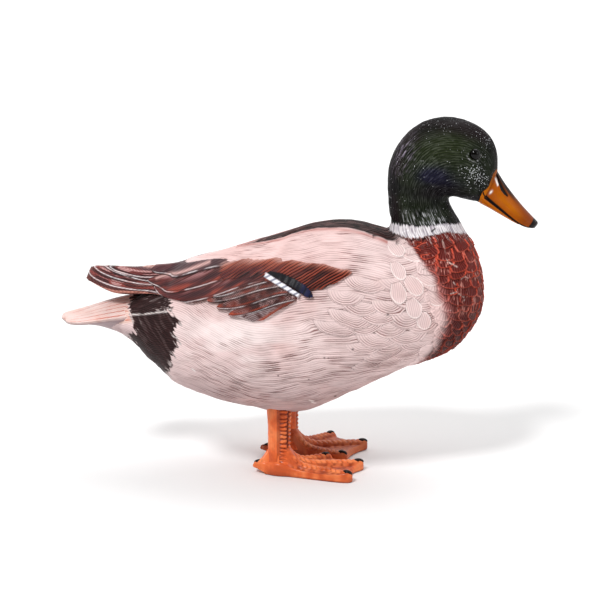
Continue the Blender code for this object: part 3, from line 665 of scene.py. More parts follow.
    # slight unevenness of the paint
    tone = node("ShaderNodeMapRange")
    tone.inputs["To Min"].default_value = 0.80
    tone.inputs["To Max"].default_value = 1.16
    links.new(blotch.outputs[0], tone.inputs["Value"])
    final = node("ShaderNodeMixRGB", blend_type="MULTIPLY")
    final.inputs[0].default_value = 1.0
    links.new(light.outputs[0], final.inputs[1])
    links.new(tone.outputs[0], final.inputs[2])
    links.new(final.outputs[0], shader.inputs["Base Color"])
    sheen = node("ShaderNodeMapRange")
    sheen.inputs["To Min"].default_value = rough - 0.08
    sheen.inputs["To Max"].default_value = rough + 0.12
    links.new(blotch.outputs[0], sheen.inputs["Value"])
    links.new(sheen.outputs[0], shader.inputs["Roughness"])
    shader.inputs["Specular IOR Level"].default_value = gloss
    shader.inputs["Coat Weight"].default_value = coat
    shader.inputs["Coat Roughness"].default_value = coat_rough
    high = maths("ADD", maths("MULTIPLY", maths("MULTIPLY", crest, cut), bump), maths("MULTIPLY", fine.outputs[0], grain))
    high = maths("ADD", high, maths("MULTIPLY", maths("MULTIPLY", streaks.outputs[0], cut), bump * 0.5))
    relief = node("ShaderNodeBump")
    relief.inputs["Strength"].default_value = 1.0
    relief.inputs["Distance"].default_value = 1.0
    links.new(high, relief.inputs["Height"])
    links.new(relief.outputs[0], shader.inputs["Normal"])
    return made


# ---------------------------------------------------------------- paints
PALE = rgb(226, 201, 199)
# darker copy of the pale paint, used as painted shade low on the body
PALE_SHADE = rgb(182, 158, 158)
PINK = rgb(214, 178, 174)
CHESTNUT = rgb(112, 36, 30)
CHESTNUT_SHADE = rgb(50, 13, 14)
RIM_RED = rgb(202, 72, 44)
CHARCOAL = rgb(50, 34, 34)
BLACK = rgb(27, 17, 17)
WHITE = rgb(238, 235, 236)
GREEN_DARK = rgb(22, 26, 22)

LINES_PER_DEGREE = 0.28  # engraved strokes round the neck

# ---------------------------------------------------------------- where the colours change (mm)
# Front edge of the pale side: x of the chestnut breast's border at each height z.
BREAST_EDGE_Z = (90, 104.8, 109.7, 119.2, 128.6, 134.4, 141.2, 150.6, 159.9, 171.1, 177.7, 183.5, 190.4, 196.5, 201)
BREAST_EDGE_X = (96, 103.5, 108.9, 112.6, 116.1, 118.8, 118.5, 115.0, 110.9, 107.0, 102.1, 97.5, 91.7, 86.2, 76)
# White collar: height of its lower and upper edge at each angle round the neck (0 back, 180 throat).
COLLAR_ANGLE = (0, 12, 39, 60, 81, 100, 124, 150, 180)
COLLAR_LOW = (201.5, 200.8, 199.2, 197.4, 198.5, 200.6, 201.5, 199.0, 196.6)
COLLAR_HIGH = (205.0, 205.2, 206.0, 206.3, 205.9, 207.1, 207.7, 206.4, 205.3)
# Black rump: x of its front edge at each height, and of its rear edge.
RUMP_Z = (70, 85.6, 94, 112.9, 121.7, 132.2, 139, 144.4, 148, 156)
RUMP_FRONT = (-108, -104.3, -99.3, -92.9, -95.3, -91.4, -99.9, -96.6, -103, -110)
RUMP_REAR_Z = (85, 110.5, 126.7, 130.7, 137.2, 145)
RUMP_REAR = (-141, -138.7, -131.0, -135.4, -141.0, -136)
# Where the bill's colour starts on the face: station number at each angle from the crown (0) to the chin (180).
FACE_ANGLE = (0, 50, 57, 69, 85, 100, 116, 134, 152, 180)
FACE_STATION = (28.1, 27.6, 27.54, 27.56, 27.72, 27.42, 26.96, 26.84, 26.94, 26.96)
# Nostril slot, the painted highlight beside it and a small painted highlight near the root: bill station, and angle up
# from the mouth.
NOSTRIL_RUN = (0.0, 0.45, 1.04, 1.45, 1.80)
NOSTRIL_ANGLE = (62, 55, 48, 46, 46)
NOSTRIL_WIDTH = (5.5, 7.5, 10.0, 8.0, 4.0)
WHITE_RUN = (0.0, 0.55)
WHITE_ANGLE = (50, 42)
ROOT_HIGHLIGHT = (0.28, 15)
# A thin white brush stroke down the chestnut on the right side.
WHITE_STROKE = ((114.8, 196.5), (116.8, 188.0), (118.6, 180.3), (126.5, 176.0))
HAIR_PITCH = 1.85
TUFT = (25.0, 12.0)  # length and height of one tuft of carved strokes
# Pale oval scallops behind the chestnut: x, z, width, length, and how far each hangs from the tail's direction (degrees).
SHOULDER = ((78.5, 193, 8, 14, 62), (72, 185, 12, 16, 70), (88, 190, 7, 13, 75), (79.5, 158.5, 13, 17, 96), (77, 172.5, 12, 17, 88), (91.5, 146.5, 13, 16, 98), (88.5, 161, 13, 18, 100), (85, 178.5, 12.5, 18, 98), (99.5, 136, 12, 14, 92), (104.5, 150.5, 12, 16, 104), (98, 163.5, 13, 18, 104), (95.6, 179, 11, 18, 102))
# Two fine white brush hooks and dabs low on the right of the chestnut.
DABS = (((121.5, 156.5), (126, 157.5), (129.5, 154.5)), ((131, 153.5), (133.5, 151.5), (131.5, 149.5)), ((114.5, 146), (118, 144), (122, 143.5)), ((123.5, 165), (125.5, 162.5)), ((129.6, 166.5), (132.5, 168), (135, 166)))
ARC_LEVELS = (178, 112, -8.0)  # heights of the rows of hanging arcs
ARC_START, ARC_SPACING = 34.0, 22.0
# Thin white dabs low on the right of the belly.
BELLY_DABS = (((11.5, 68), (14.5, 66)), ((13, 65.5), (15.5, 63.5)), ((-82, 93), (-80, 91)))
# Small casting pits on the right flank: x, z, radius.
PITS = ((46.6, 115.6, 0.8), (24.6, 108.8, 0.7), (27.6, 108.4, 0.6), (31.6, 68.0, 0.9), (73.4, 143.5, 0.8), (-12, 92, 0.6), (12, 90, 0.6))
# Dark saddle on the back: half width at each x.
SADDLE_X = (-50, -40, -27, -15, -5, 9, 26, 42, 57, 78)
SADDLE_HALF = (0, 3, 12, 16.5, 15, 16, 20, 23, 25, 27)


def body_regions(points, angle):
    """Share of each colour region at points of the trunk and neck. angle is 0 on the back, pi on the belly."""
    x, y, z = points[..., 0], points[..., 1], points[..., 2]
    ragged = (fractal(points, 9, 3) - 0.5) * 2
    brushy = (noise(points, (7, 1.6, 1.6), 5) - 0.5) * 2
    deg = np.degrees(angle)
    edge = np.interp(z, BREAST_EDGE_Z, BREAST_EDGE_X)
    soft = np.interp(z, (100, 150, 185, 200), (5.5, 4.5, 2.0, 1.0))
    breast = smooth(-soft, soft, x - edge + 2.2 * ragged)
    low = np.interp(deg, COLLAR_ANGLE, COLLAR_LOW)
    high = np.interp(deg, COLLAR_ANGLE, COLLAR_HIGH)
    comb = (noise(np.stack([deg * 0.75, z * 0.25, np.sign(y)], -1), 1.0, 8) - 0.5) * 2
    up_neck = smooth(70, 74, x)
    collar = smooth(-0.5, 0.5, z - low + 1.1 * comb) * up_neck
    above = smooth(-0.5, 0.5, z - high - 1.6 * comb) * up_neck
    under = np.exp(-(((z - low + 1.0 + comb) / 1.0) ** 2)) * smooth(8, 20, deg) * smooth(100, 70, deg) * (x > 60)
    front = np.interp(z, RUMP_Z, RUMP_FRONT)
    rear = np.interp(z, RUMP_REAR_Z, RUMP_REAR)
    fur = np.where(z > 137 + 0.2 * (x + 118), brushed(x, z, y, 0.34, (10, 0.62, 3), 18), brushed(x, z, y, -1.2, (9, 1.3, 9), 19))
    streak = (fur - 0.5) * 2
    rump = smooth(-0.8, 0.8, front - x + 5.0 * streak + 1.0 * ragged)
    rump = rump * smooth(-0.8, 0.8, x - rear + (4 + 7 * smooth(128, 118, z)) * streak)
    half = np.interp(x, SADDLE_X, SADDLE_HALF, left=0, right=30)
    saddle = smooth(-2.5, 2.5, half - np.abs(y) + 2.0 * ragged) * (z > 150) * (half > 0.5)
    saddle = saddle * smooth(6, -4, x - 79) * smooth(95, 85, deg)
    saddle = np.maximum(saddle, 0.9 * under)
    return dict(breast=breast, collar=collar, above=above, rump=rump, saddle=saddle, ragged=ragged, fur=fur, front=front, rear=rear)


def rows_between(start, end, step, weights=(0.75, 1.0, 0.8)):
    """Station numbers of rings about step mm apart, judged along the back, the side and the belly."""
    s = np.linspace(start, end, 1200)
    reach = 0
    for turn, weight in zip((0.0, math.pi / 2, math.pi), weights):
        line = tube_point(s, np.full(len(s), turn))
        reach = np.maximum(reach, np.linalg.norm(np.diff(line, axis=0), axis=1) * weight)
    total = np.concatenate([[0], np.cumsum(reach)])
    count = int(total[-1] / step)
    return np.interp(np.linspace(0, total[-1], count + 1), total, s)


def tube_grid(stations, columns):
    angle = np.arange(columns) * 2 * np.pi / columns
    points = tube_point(stations[:, None], angle[None, :])
    normals = grid_normals(points, True)
    inward = tube_point(stations[:, None], angle[None, :], -2.0)
    if ((points - inward) * normals).sum() < 0:
        normals = -normals
    return points, normals, angle


def chance(a, b, seed):
    return np.modf(np.abs(np.sin(a * 127.1 + b * 311.7 + seed * 74.7)) * 43758.5)[0]


def hair(points, girth):
    """Fine carved strokes in soft overlapping tufts: count across them, their depth share, and the rise to each tuft's lower end."""
    x, y, z = points[..., 0], points[..., 1], points[..., 2]
    side = np.sign(y)
    front = np.exp(-(((x - 72) / 34) ** 2 + ((z - 146) / 34) ** 2))
    back = -28 - x
    bend = 0.5 * (back + np.sqrt(back**2 + 400)) + 7 * (noise(points, (40, 90, 60), 201) - 0.5)
    across, level = x / TUFT[0], girth / TUFT[1]
    total, turned, low = 1e-6, 0.0, 0.0
    for dj in (-1, 0, 1):
        row = np.floor(level) + dj
        for di in (-1, 0, 1):
            col = np.floor(across - 0.5 * (row % 2)) + di
            dx = across - (col + 0.5 * (row % 2) + 0.5 + 0.3 * (2 * chance(col, row, side) - 1))
            dy = level - (row + 0.5 + 0.3 * (2 * chance(col, row, side + 5) - 1))
            weight = np.exp(-4.5 * dx**2 - 5 * dy**2)
            lean = 8 * (chance(col, row, side + 9) - 0.5) * (1 - 0.6 * front)
            cup = (1 + 6 * chance(col, row, side + 13)) * (0.5 + 0.8 * front)
            turned = turned + weight * (lean * dx + cup * dx**2)
            low = low + weight * smooth(-0.6, 0.5, dy)
            total = total + weight
    count = (girth + bend + turned / total) / HAIR_PITCH
    low = low / total
    own = noise(np.stack([x + 0.3 * girth, count * 9, side * 40], -1), (10, 9, 20), 203)
    depth = 0.30 + 0.70 * smooth(0.28, 0.72, own)
    patch = smooth(0.32, 0.68, fractal(points, (26, 26, 15), 205))
    belly = np.exp(-(((x - 18) / 52) ** 2 + ((z - 92) / 26) ** 2))
    calm = np.exp(-(((x + 20) / 40) ** 2 + ((z - 135) / 22) ** 2))
    depth = depth * (0.40 + 0.75 * patch + 0.45 * belly + 0.6 * front - 0.3 * calm) * (0.65 + 0.6 * low)
    return count, np.clip(depth, 0, 1.5), low


def brushed(x, z, y, slope, size, seed):
    """Noise in fine strokes that rise or fall along x by this slope."""
    a = math.atan(slope)
    run = x * math.cos(a) + z * math.sin(a)
    rise = z * math.cos(a) - x * math.sin(a)
    return noise(np.stack([run, rise, y], -1), size, seed)


def cover_breast(coat, stations, angle, reach, tangent, gap, rng):
    """Scale-shaped feathers in rows below the collar: small ones on the chestnut breast, larger pale ones behind them."""
    points = coat.points
    rows, cols = points.shape[:2]
    top = int(np.searchsorted(stations, station("ring_low") - 0.12))
    below = reach[top][None] - reach
    fold = np.pi - np.abs(angle - np.pi)
    pitch, width, length = 6.6, 16.0, 12.5

    def one(kind, r, c, span, wide, turn, level=0.0):
        t = tangent[r, c]
        nrm = coat.normals[r, c]
        b = np.cross(nrm, t)
        b /= np.linalg.norm(b)
        t2, b2 = t * math.cos(turn) + b * math.sin(turn), -t * math.sin(turn) + b * math.cos(turn)
        back = 1.3 * span / max(np.linalg.norm(points[r, c] - points[r - 1, c]), 0.15)
        spread = int(math.ceil(0.8 * wide / max(gap[r, c], 0.08)))
        window = window_of(coat, r, c, (int(back), int(back) if kind == "shoulder" else 6), min(int(spread * (1.8 if kind == "shoulder" else 1)), cols // 3), True)
        d = points[window] - points[r, c]
        facing = (coat.normals[window] @ nrm > 0.2) & (np.abs(d @ nrm) < 0.6 * span)
        coat.lay(window, d @ t2, d @ b2, span, wide, kind, 0.2 + level - 0.02 * rng.random(), rng.random(), facing, base=0.0)

    def at_place(x, z, side):
        far = (points[:top, :, 0] - x) ** 2 + (points[:top, :, 2] - z) ** 2
        far = np.where(points[:top, :, 1] * side > 0, far, 1e9)
        return np.unravel_index(int(far.argmin()), far.shape)

    # nested hanging arcs on the front of the flank
    for k, z in enumerate(np.arange(*ARC_LEVELS)):
        for x in np.arange(ARC_START + (k % 2) * ARC_SPACING / 2, np.interp(z - 12, BREAST_EDGE_Z, BREAST_EDGE_X) - 6, ARC_SPACING):
            for side in (1, -1):
                rough = rng.random(4)
                if rough[3] < 0.25 * smooth(80, 40, x) + 0.5 * (k == 0):
                    continue
                r, c = at_place(x + 5 * (rough[0] - 0.5), z + 4 * (rough[1] - 0.5), side)
                span, wide = 18 + 5 * rough[2], 30 + 9 * rough[0]
                turn = -side * math.radians(62 + 44 * rough[1])
                t, nrm = tangent[r, c], coat.normals[r, c]
                b = np.cross(nrm, t)
                b /= np.linalg.norm(b)
                t2, b2 = t * math.cos(turn) + b * math.sin(turn), -t * math.sin(turn) + b * math.cos(turn)
                pace = max(np.linalg.norm(points[r, c] - points[r - 1, c]), 0.15)
                reach_r = int(1.3 * span / pace)
                window = window_of(coat, r, c, (reach_r, reach_r), int(1.3 * span / max(gap[r, c], 0.08)), True)
                d = points[window] - points[r, c]
                uneven = 3.4 * (fractal(points[window], (13, 13, 9), 213) - 0.5)
                coat.lay(window, d @ t2 + uneven, d @ b2 + 1.2 * uneven, span, wide, "arc", 0.1 * (z - 100) - 30, rng.random(), np.abs(d @ nrm) < 9, base=-0.1)
    for x, z, wide, span, hang in SHOULDER:
        for side in (1, -1):
            a = math.radians(hang)
            r, c = at_place(x + 0.5 * span * math.cos(a), z + 0.5 * span * math.sin(a), side)
            one("shoulder", r, c, span, wide, -side * a, 0.006 * x)
    for k in range(int(below[0].max() / pitch)):
        distance = 3.5 + k * pitch
        row = np.array([np.searchsorted(-below[:top, c], -distance) for c in range(cols)])
        row = np.clip(row, 1, top)
        curve = points[row, np.arange(cols)]
        for side in (1, -1):
            order = np.argsort(-fold, kind="stable")
            order = order[(np.sin(angle[order]) * side) >= -1e-6]
            line = curve[order]
            run = np.concatenate([[0], np.cumsum(np.linalg.norm(np.diff(line, axis=0), axis=1))])
            at = (0.5 if k % 2 else 0.0) * width * 0.9
            if side < 0 and not k % 2:
                at += width * 0.9
            while at < run[-1]:
                c = int(order[min(np.searchsorted(run, at + (rng.random() - 0.5) * 0.30 * width), len(order) - 1)])
                at += width * 0.9
                r = int(row[c])
                x, y, z = points[r, c]
                edge = np.interp(z, BREAST_EDGE_Z, BREAST_EDGE_X)
                if z < 84 or r < 3 or x < edge - 0.5:
                    continue
                scale = 0.86 + 0.26 * rng.random()
                one("breast", r, c, length * scale * (0.62 if k == 0 else 1), width * scale * 1.06, math.radians((rng.random() * 2 - 1) * 15))


def exp_line(x, z, line, width):
    """1 on a line through these points in the side view, fading out over its width."""
    best = np.full(x.shape, 1e9)
    for (x0, z0), (x1, z1) in zip(line, line[1:]):
        t = np.clip(((x - x0) * (x1 - x0) + (z - z0) * (z1 - z0)) / ((x1 - x0) ** 2 + (z1 - z0) ** 2), 0, 1)
        best = np.minimum(best, np.hypot(x - x0 - t * (x1 - x0), z - z0 - t * (z1 - z0)))
    return np.exp(-((best / width) ** 2))


def body_paint(points, angle, coat, relief_ridge, relief_line, regions):
    x, y, z = points[..., 0], points[..., 1], points[..., 2]
    g = regions
    tone = fractal(points, 26, 21)
    # painted shade: the pale paint turns darker grey towards the bottom of the body
    low = smooth(112, 56, z)
    pale = mix(PALE + 0 * points, PALE_SHADE, np.clip(low * (0.55 + 0.6 * tone), 0, 1))
    # uneven darker blotches low on the body: random tone and painted shade
    low_tone_and_shade = smooth(0.48, 0.70, fractal(points, (22, 22, 8), 6)) * smooth(150, 85, z) * smooth(-80, -10, x)
    pale = mix(pale, rgb(160, 132, 128), 0.50 * low_tone_and_shade)
    # painted highlight: a paler patch on the rear flank
    light = np.exp(-(((x + 42) / 48) ** 2 + ((z - 122) / 26) ** 2)) * smooth(0.3, 0.6, fractal(points, (22, 22, 12), 214))
    pale = mix(pale, rgb(242, 228, 226), 0.75 * light)
    pink = smooth(0.45, 0.75, fractal(points, 34, 4)) * 0.55 * (1 - light)
    scap = smooth(168, 182, z) * smooth(60, 30, x)
    pale = mix(pale, PINK, np.clip(pink + 0.45 * scap, 0, 0.85))
    paint = pale
    ridge = relief_ridge
    # breast: dark between bright rims
    # painted shade: the chestnut darkens towards the bottom of the breast
    depth = smooth(190, 105, z)
    red = mix(CHESTNUT + 0 * points, CHESTNUT_SHADE, np.clip(depth * 0.8 + 0.3 * (tone - 0.5), 0, 1))
    dab = smooth(0.60, 0.74, noise(points, (1.3, 1.3, 6.5), 10)) * smooth(0.38, 0.62, noise(points, 17, 24))
    red = mix(red, rgb(206, 138, 126), 0.9 * dab * (1 - 0.75 * depth) * (1 - ridge))
    rim = smooth(0.10, 0.50, ridge) * (1.0 - 0.45 * depth)
    red = mix(red, RIM_RED, np.clip(rim * (0.25 + 1.35 * noise(points, 6, 9)), 0, 1))
    # painted highlight on the rims of the breast feathers
    rim_highlight = smooth(0.62, 0.76, noise(points, 9, 11)) * smooth(0.4, 0.9, ridge)
    red = mix(red, rgb(232, 170, 156), 0.5 * rim_highlight * (1 - depth))
    stroke = exp_line(x, z, WHITE_STROKE, 0.50) * (y < 0) * smooth(0.25, 0.5, noise(points, 5, 17))
    red = mix(red, rgb(240, 210, 200), 0.8 * stroke)
    for line in DABS:
        red = mix(red, rgb(236, 214, 206), 0.6 * exp_line(x, z, line, 0.42) * (y < 0) * smooth(0.3, 0.5, noise(points, 3, 212)))
    border = x - np.interp(z, BREAST_EDGE_Z, BREAST_EDGE_X)
    blush = np.exp(-(((border - 1) / 5) ** 2)) * smooth(186, 165, z) * smooth(112, 134, z)
    red = mix(red, rgb(190, 122, 118), 0.75 * blush * smooth(0.25, 0.6, fractal(points, 9, 210)))
    paint = mix(paint, red, g["breast"])
    # saddle
    dark = mix(CHARCOAL + 0 * points, BLACK, smooth(0.4, 0.7, noise(points, (18, 5, 5), 12)))
    dark = mix(dark, rgb(150, 112, 110), 0.4 * smooth(0.60, 0.74, noise(points, (9, 0.9, 3), 215)))
    dark = mix(dark, rgb(104, 48, 44), 0.35 * smooth(0.52, 0.7, fractal(points, (16, 6, 6), 216)))
    half = np.interp(x, SADDLE_X, SADDLE_HALF, left=0, right=30)
    fringe = np.exp(-(((half + 3.6 - np.abs(y)) / 3.0) ** 2)) * (z > 150) * (x > -52) * (x < 72)
    paint = mix(paint, rgb(172, 92, 82), np.clip(fringe * (0.35 + 0.7 * noise(points, 8, 13)), 0, 1) * (1 - g["breast"]))
    paint = mix(paint, dark, g["saddle"])
    # rump
    black = mix(BLACK + 0 * points, rgb(58, 36, 36), 0.5 + 0.5 * smooth(0.35, 0.62, g["fur"]))
    hairs = smooth(0.62, 0.70, g["fur"]) * np.where(z > 137 + 0.2 * (x + 118), 0.6 * smooth(0.42, 0.6, noise(points, (7, 7, 7), 217)) + 0.15, 1)
    where_hairs = np.maximum(smooth(6, 1, g["front"] - x), smooth(8, 1, x - g["rear"]) * smooth(140, 126, z))
    where_hairs = np.maximum(where_hairs, smooth(136, 139, z) * smooth(-128, -116, x))
    black = mix(black, rgb(222, 210, 208), 0.85 * hairs * (0.04 + 0.9 * where_hairs))
    # painted highlight: a pale line across the black rump
    rump_highlight_line = np.exp(-(((z - np.interp(x, (-136, -118, -100), (130.7, 134.2, 139.0))) / 0.7) ** 2)) * (x < -97) * (x > -137)
    black = mix(black, rgb(236, 228, 226), 0.85 * rump_highlight_line * smooth(0.35, 0.6, noise(points, (9, 4, 4), 16)))
    paint = mix(paint, black, g["rump"])
    # collar and the start of the neck
    strand = noise(np.stack([np.degrees(angle) * 0.95, z * 0.22, np.sign(y)], -1), 1.0, 30)
    white = mix(rgb(230, 226, 229) + 0 * points, rgb(136, 126, 138), 0.85 * smooth(0.42, 0.72, strand))
    paint = mix(paint, white, g["collar"])
    nick = exp_line(x, z, ((106.4, 202.7), (109.0, 204.6)), 0.5) * (y < 0)
    paint = mix(paint, rgb(26, 20, 20), np.clip(1.6 * nick, 0, 1))
    paint = mix(paint, GREEN_DARK, g["above"])
    trail = smooth(0.60, 0.72, strand) * smooth(9, 0, np.interp(np.degrees(angle), COLLAR_ANGLE, COLLAR_LOW) - z) * g["breast"] * (1 - g["collar"])
    paint = mix(paint, rgb(226, 204, 200), 0.75 * trail)
    # the base of the tail is painted like the tail, down to a grey underside that is painted shade
    root = smooth(1.5, -1.5, x - g["rear"]) * smooth(-0.8, 0.8, z - np.interp(x, (-150, -138, -128), (121, 124, 127.5)))
    grooves = smooth(0.56, 0.70, brushed(x, z, y, 0.17, (26, 1.3, 4), 23))
    cream = mix(mix(rgb(236, 212, 204) + 0 * points, rgb(214, 176, 164), tone), rgb(200, 96, 70), 0.75 * grooves * smooth(-132, -140, x))
    paint = mix(paint, cream, root * (1 - g["rump"]))
    # painted shade under the base of the tail
    shade = smooth(-126, -134, x) * smooth(124, 116, z) * (1 - g["rump"])
    paint = mix(paint, rgb(152, 128, 132), 0.5 * shade)
    mask = np.zeros(points.shape[:2] + (4,))
    solid = 1 - g["collar"]
    pale_share = (1 - g["breast"]) * (1 - g["saddle"]) * (1 - g["rump"]) * solid
    mask[..., 0] = ridge
    scale = coat.tagged("shoulder") | coat.tagged("breast")
    edge_wash = smooth(0.90, 1.0, coat.edge) * scale
    mask[..., 1] = edge_wash * (0.35 * pale_share * coat.tagged("shoulder") + 0.9 * g["breast"] ** 2) * solid
    mask[..., 2] = (pale_share * np.where(scale, 0.30, np.where(coat.tagged("arc") & (coat.along > 0.42 * coat.length), 1.15 * smooth(0.35, 0.85, coat.along / coat.length) * (0.4 + 0.9 * fractal(points, 12, 211)), 1.35 * relief_line**1.2)) + 0.95 * g["breast"] + 0.9 * g["saddle"] + 0.9 * g["rump"]) * solid + 0.4 * g["collar"]
    mask[..., 2] *= np.where(scale, smooth(1.0, 0.9, coat.edge), 1)
    mask[..., 3] = 0.75 * pale_share + (0.75 - 0.5 * depth) * g["breast"] + 0.14 * g["saddle"] + 0.14 * g["rump"]
    paint = mix(paint, rgb(246, 238, 234), 0.60 * smooth(0.35, 0.9, ridge) * coat.tagged("shoulder") * pale_share)
    for line in BELLY_DABS:
        paint = mix(paint, rgb(250, 244, 242), 0.8 * exp_line(x, z, line, 0.7) * (y < 0))
    for px, pz, size in PITS:
        spot = np.exp(-(((x - px) ** 2 + (z - pz) ** 2) / size**2)) * (y < 0)
        paint = mix(paint, rgb(70, 48, 48), np.clip(1.2 * spot, 0, 1))
    return np.clip(paint, 0, 1), mask


def make_body():
    step = 0.70 / DETAIL
    columns = int(720 * DETAIL) // 4 * 4
    stations = rows_between(0, 16.9, step)
    points, normals, angle = tube_grid(stations, columns)
    around = np.broadcast_to(angle[None, :], points.shape[:2])
    fold = np.pi - np.abs(around - np.pi)
    coat = Coat(points, normals)
    rng = np.random.default_rng(ROUGH_SEED)
    run = np.linalg.norm(np.diff(points, axis=0), axis=-1)
    reach = np.concatenate([np.zeros((1, columns)), np.cumsum(run, 0)])
    gap = np.linalg.norm(points - np.roll(points, 1, 1), axis=-1)
    tangent = -np.gradient(points, axis=0)
    tangent /= np.maximum(np.linalg.norm(tangent, axis=-1, keepdims=True), 1e-9)
    cover_breast(coat, stations, angle, reach, tangent, gap, rng)
    regions = body_regions(points, fold)
    height, ridge, line = coat.relief()
    around_mm = np.cumsum(gap, 1) - gap[:, :1]
    girth = np.minimum(around_mm, around_mm[:, -1:] + gap[:, :1] - around_mm)
    count, depth, low_end = hair(points, girth)
    bare = (coat.number < 0) | (coat.tagged("arc") & (coat.along < 0.42 * coat.length))
    depth = depth * np.interp(points[..., 0], (-95, -45), (0.45, 1.0))
    depth = depth * (1 - regions["collar"])
    carve = -0.62 * depth * (0.5 + 0.5 * np.cos(np.pi * count)) ** 1.4 + 0.10 + 0.45 * low_end
    height = np.where(bare, carve, height)
    inside = smooth(-8, -2, points[..., 0] - np.interp(points[..., 2], BREAST_EDGE_Z, BREAST_EDGE_X))
    inside = np.where(coat.tagged("breast"), np.maximum(inside, smooth(150, 165, points[..., 2])), 1)
    height = height * inside + carve * (1 - inside)
    height = height + 2.4 * (fractal(points, (20, 20, 11), 207) - 0.5) * smooth(112, 84, points[..., 2])
    softly = smooth(-0.6, 0.4, station("ring_low") - stations)[:, None]
    calm = (fractal(points, 22, 40) - 0.5) * 1.6
    height = (height * softly) * (1 - regions["collar"]) + calm * softly - 0.55 - 0.7 * regions["saddle"]
    strokes = 0.25 * np.sin(np.degrees(around) * 2.4 + 4 * noise(points, 4, 41))
    height = height + strokes * regions["collar"] * 0.5
    at_tip = smooth(0, 0.35, stations)[:, None]
    carved = points + normals * (height * at_tip)[..., None]
    paint, mask = body_paint(points, fold, coat, ridge, depth, regions)
    on_neck = np.clip(regions["collar"] + regions["above"], 0, 1) > 0.5
    phase = np.where(bare, count, coat.phase())
    phase = np.where(on_neck, np.degrees(around) * LINES_PER_DEGREE, phase)
    lines = np.stack([phase, np.where(bare, reach, coat.along), np.where(bare, 0, coat.seed * 30)], -1)
    shade = grid_normals(carved, True)
    if (shade * normals).sum() < 0:
        shade = -shade
    return stations, carved, shade, paint, mask, lines




# ---------------------------------------------------------------- head and neck
def near(points, centre, radii):
    """1 at a place on either side of the head, fading out over the radii."""
    d = (np.stack([points[..., 0], np.abs(points[..., 1]), points[..., 2]], -1) - np.array(centre)) / np.array(radii)
    return np.exp(-(d**2).sum(-1))


def speckle(points, size, share, seed):
    """Small dots covering about that share of the surface."""
    value = noise(points, size, seed)
    return smooth(1 - share * 0.9 - 0.1, 1 - share * 0.5, value)


MOUTH_STATION = (27.04, 27.52, 28.0)
MOUTH_ANGLE = (116.5, 115.0, 111.5)


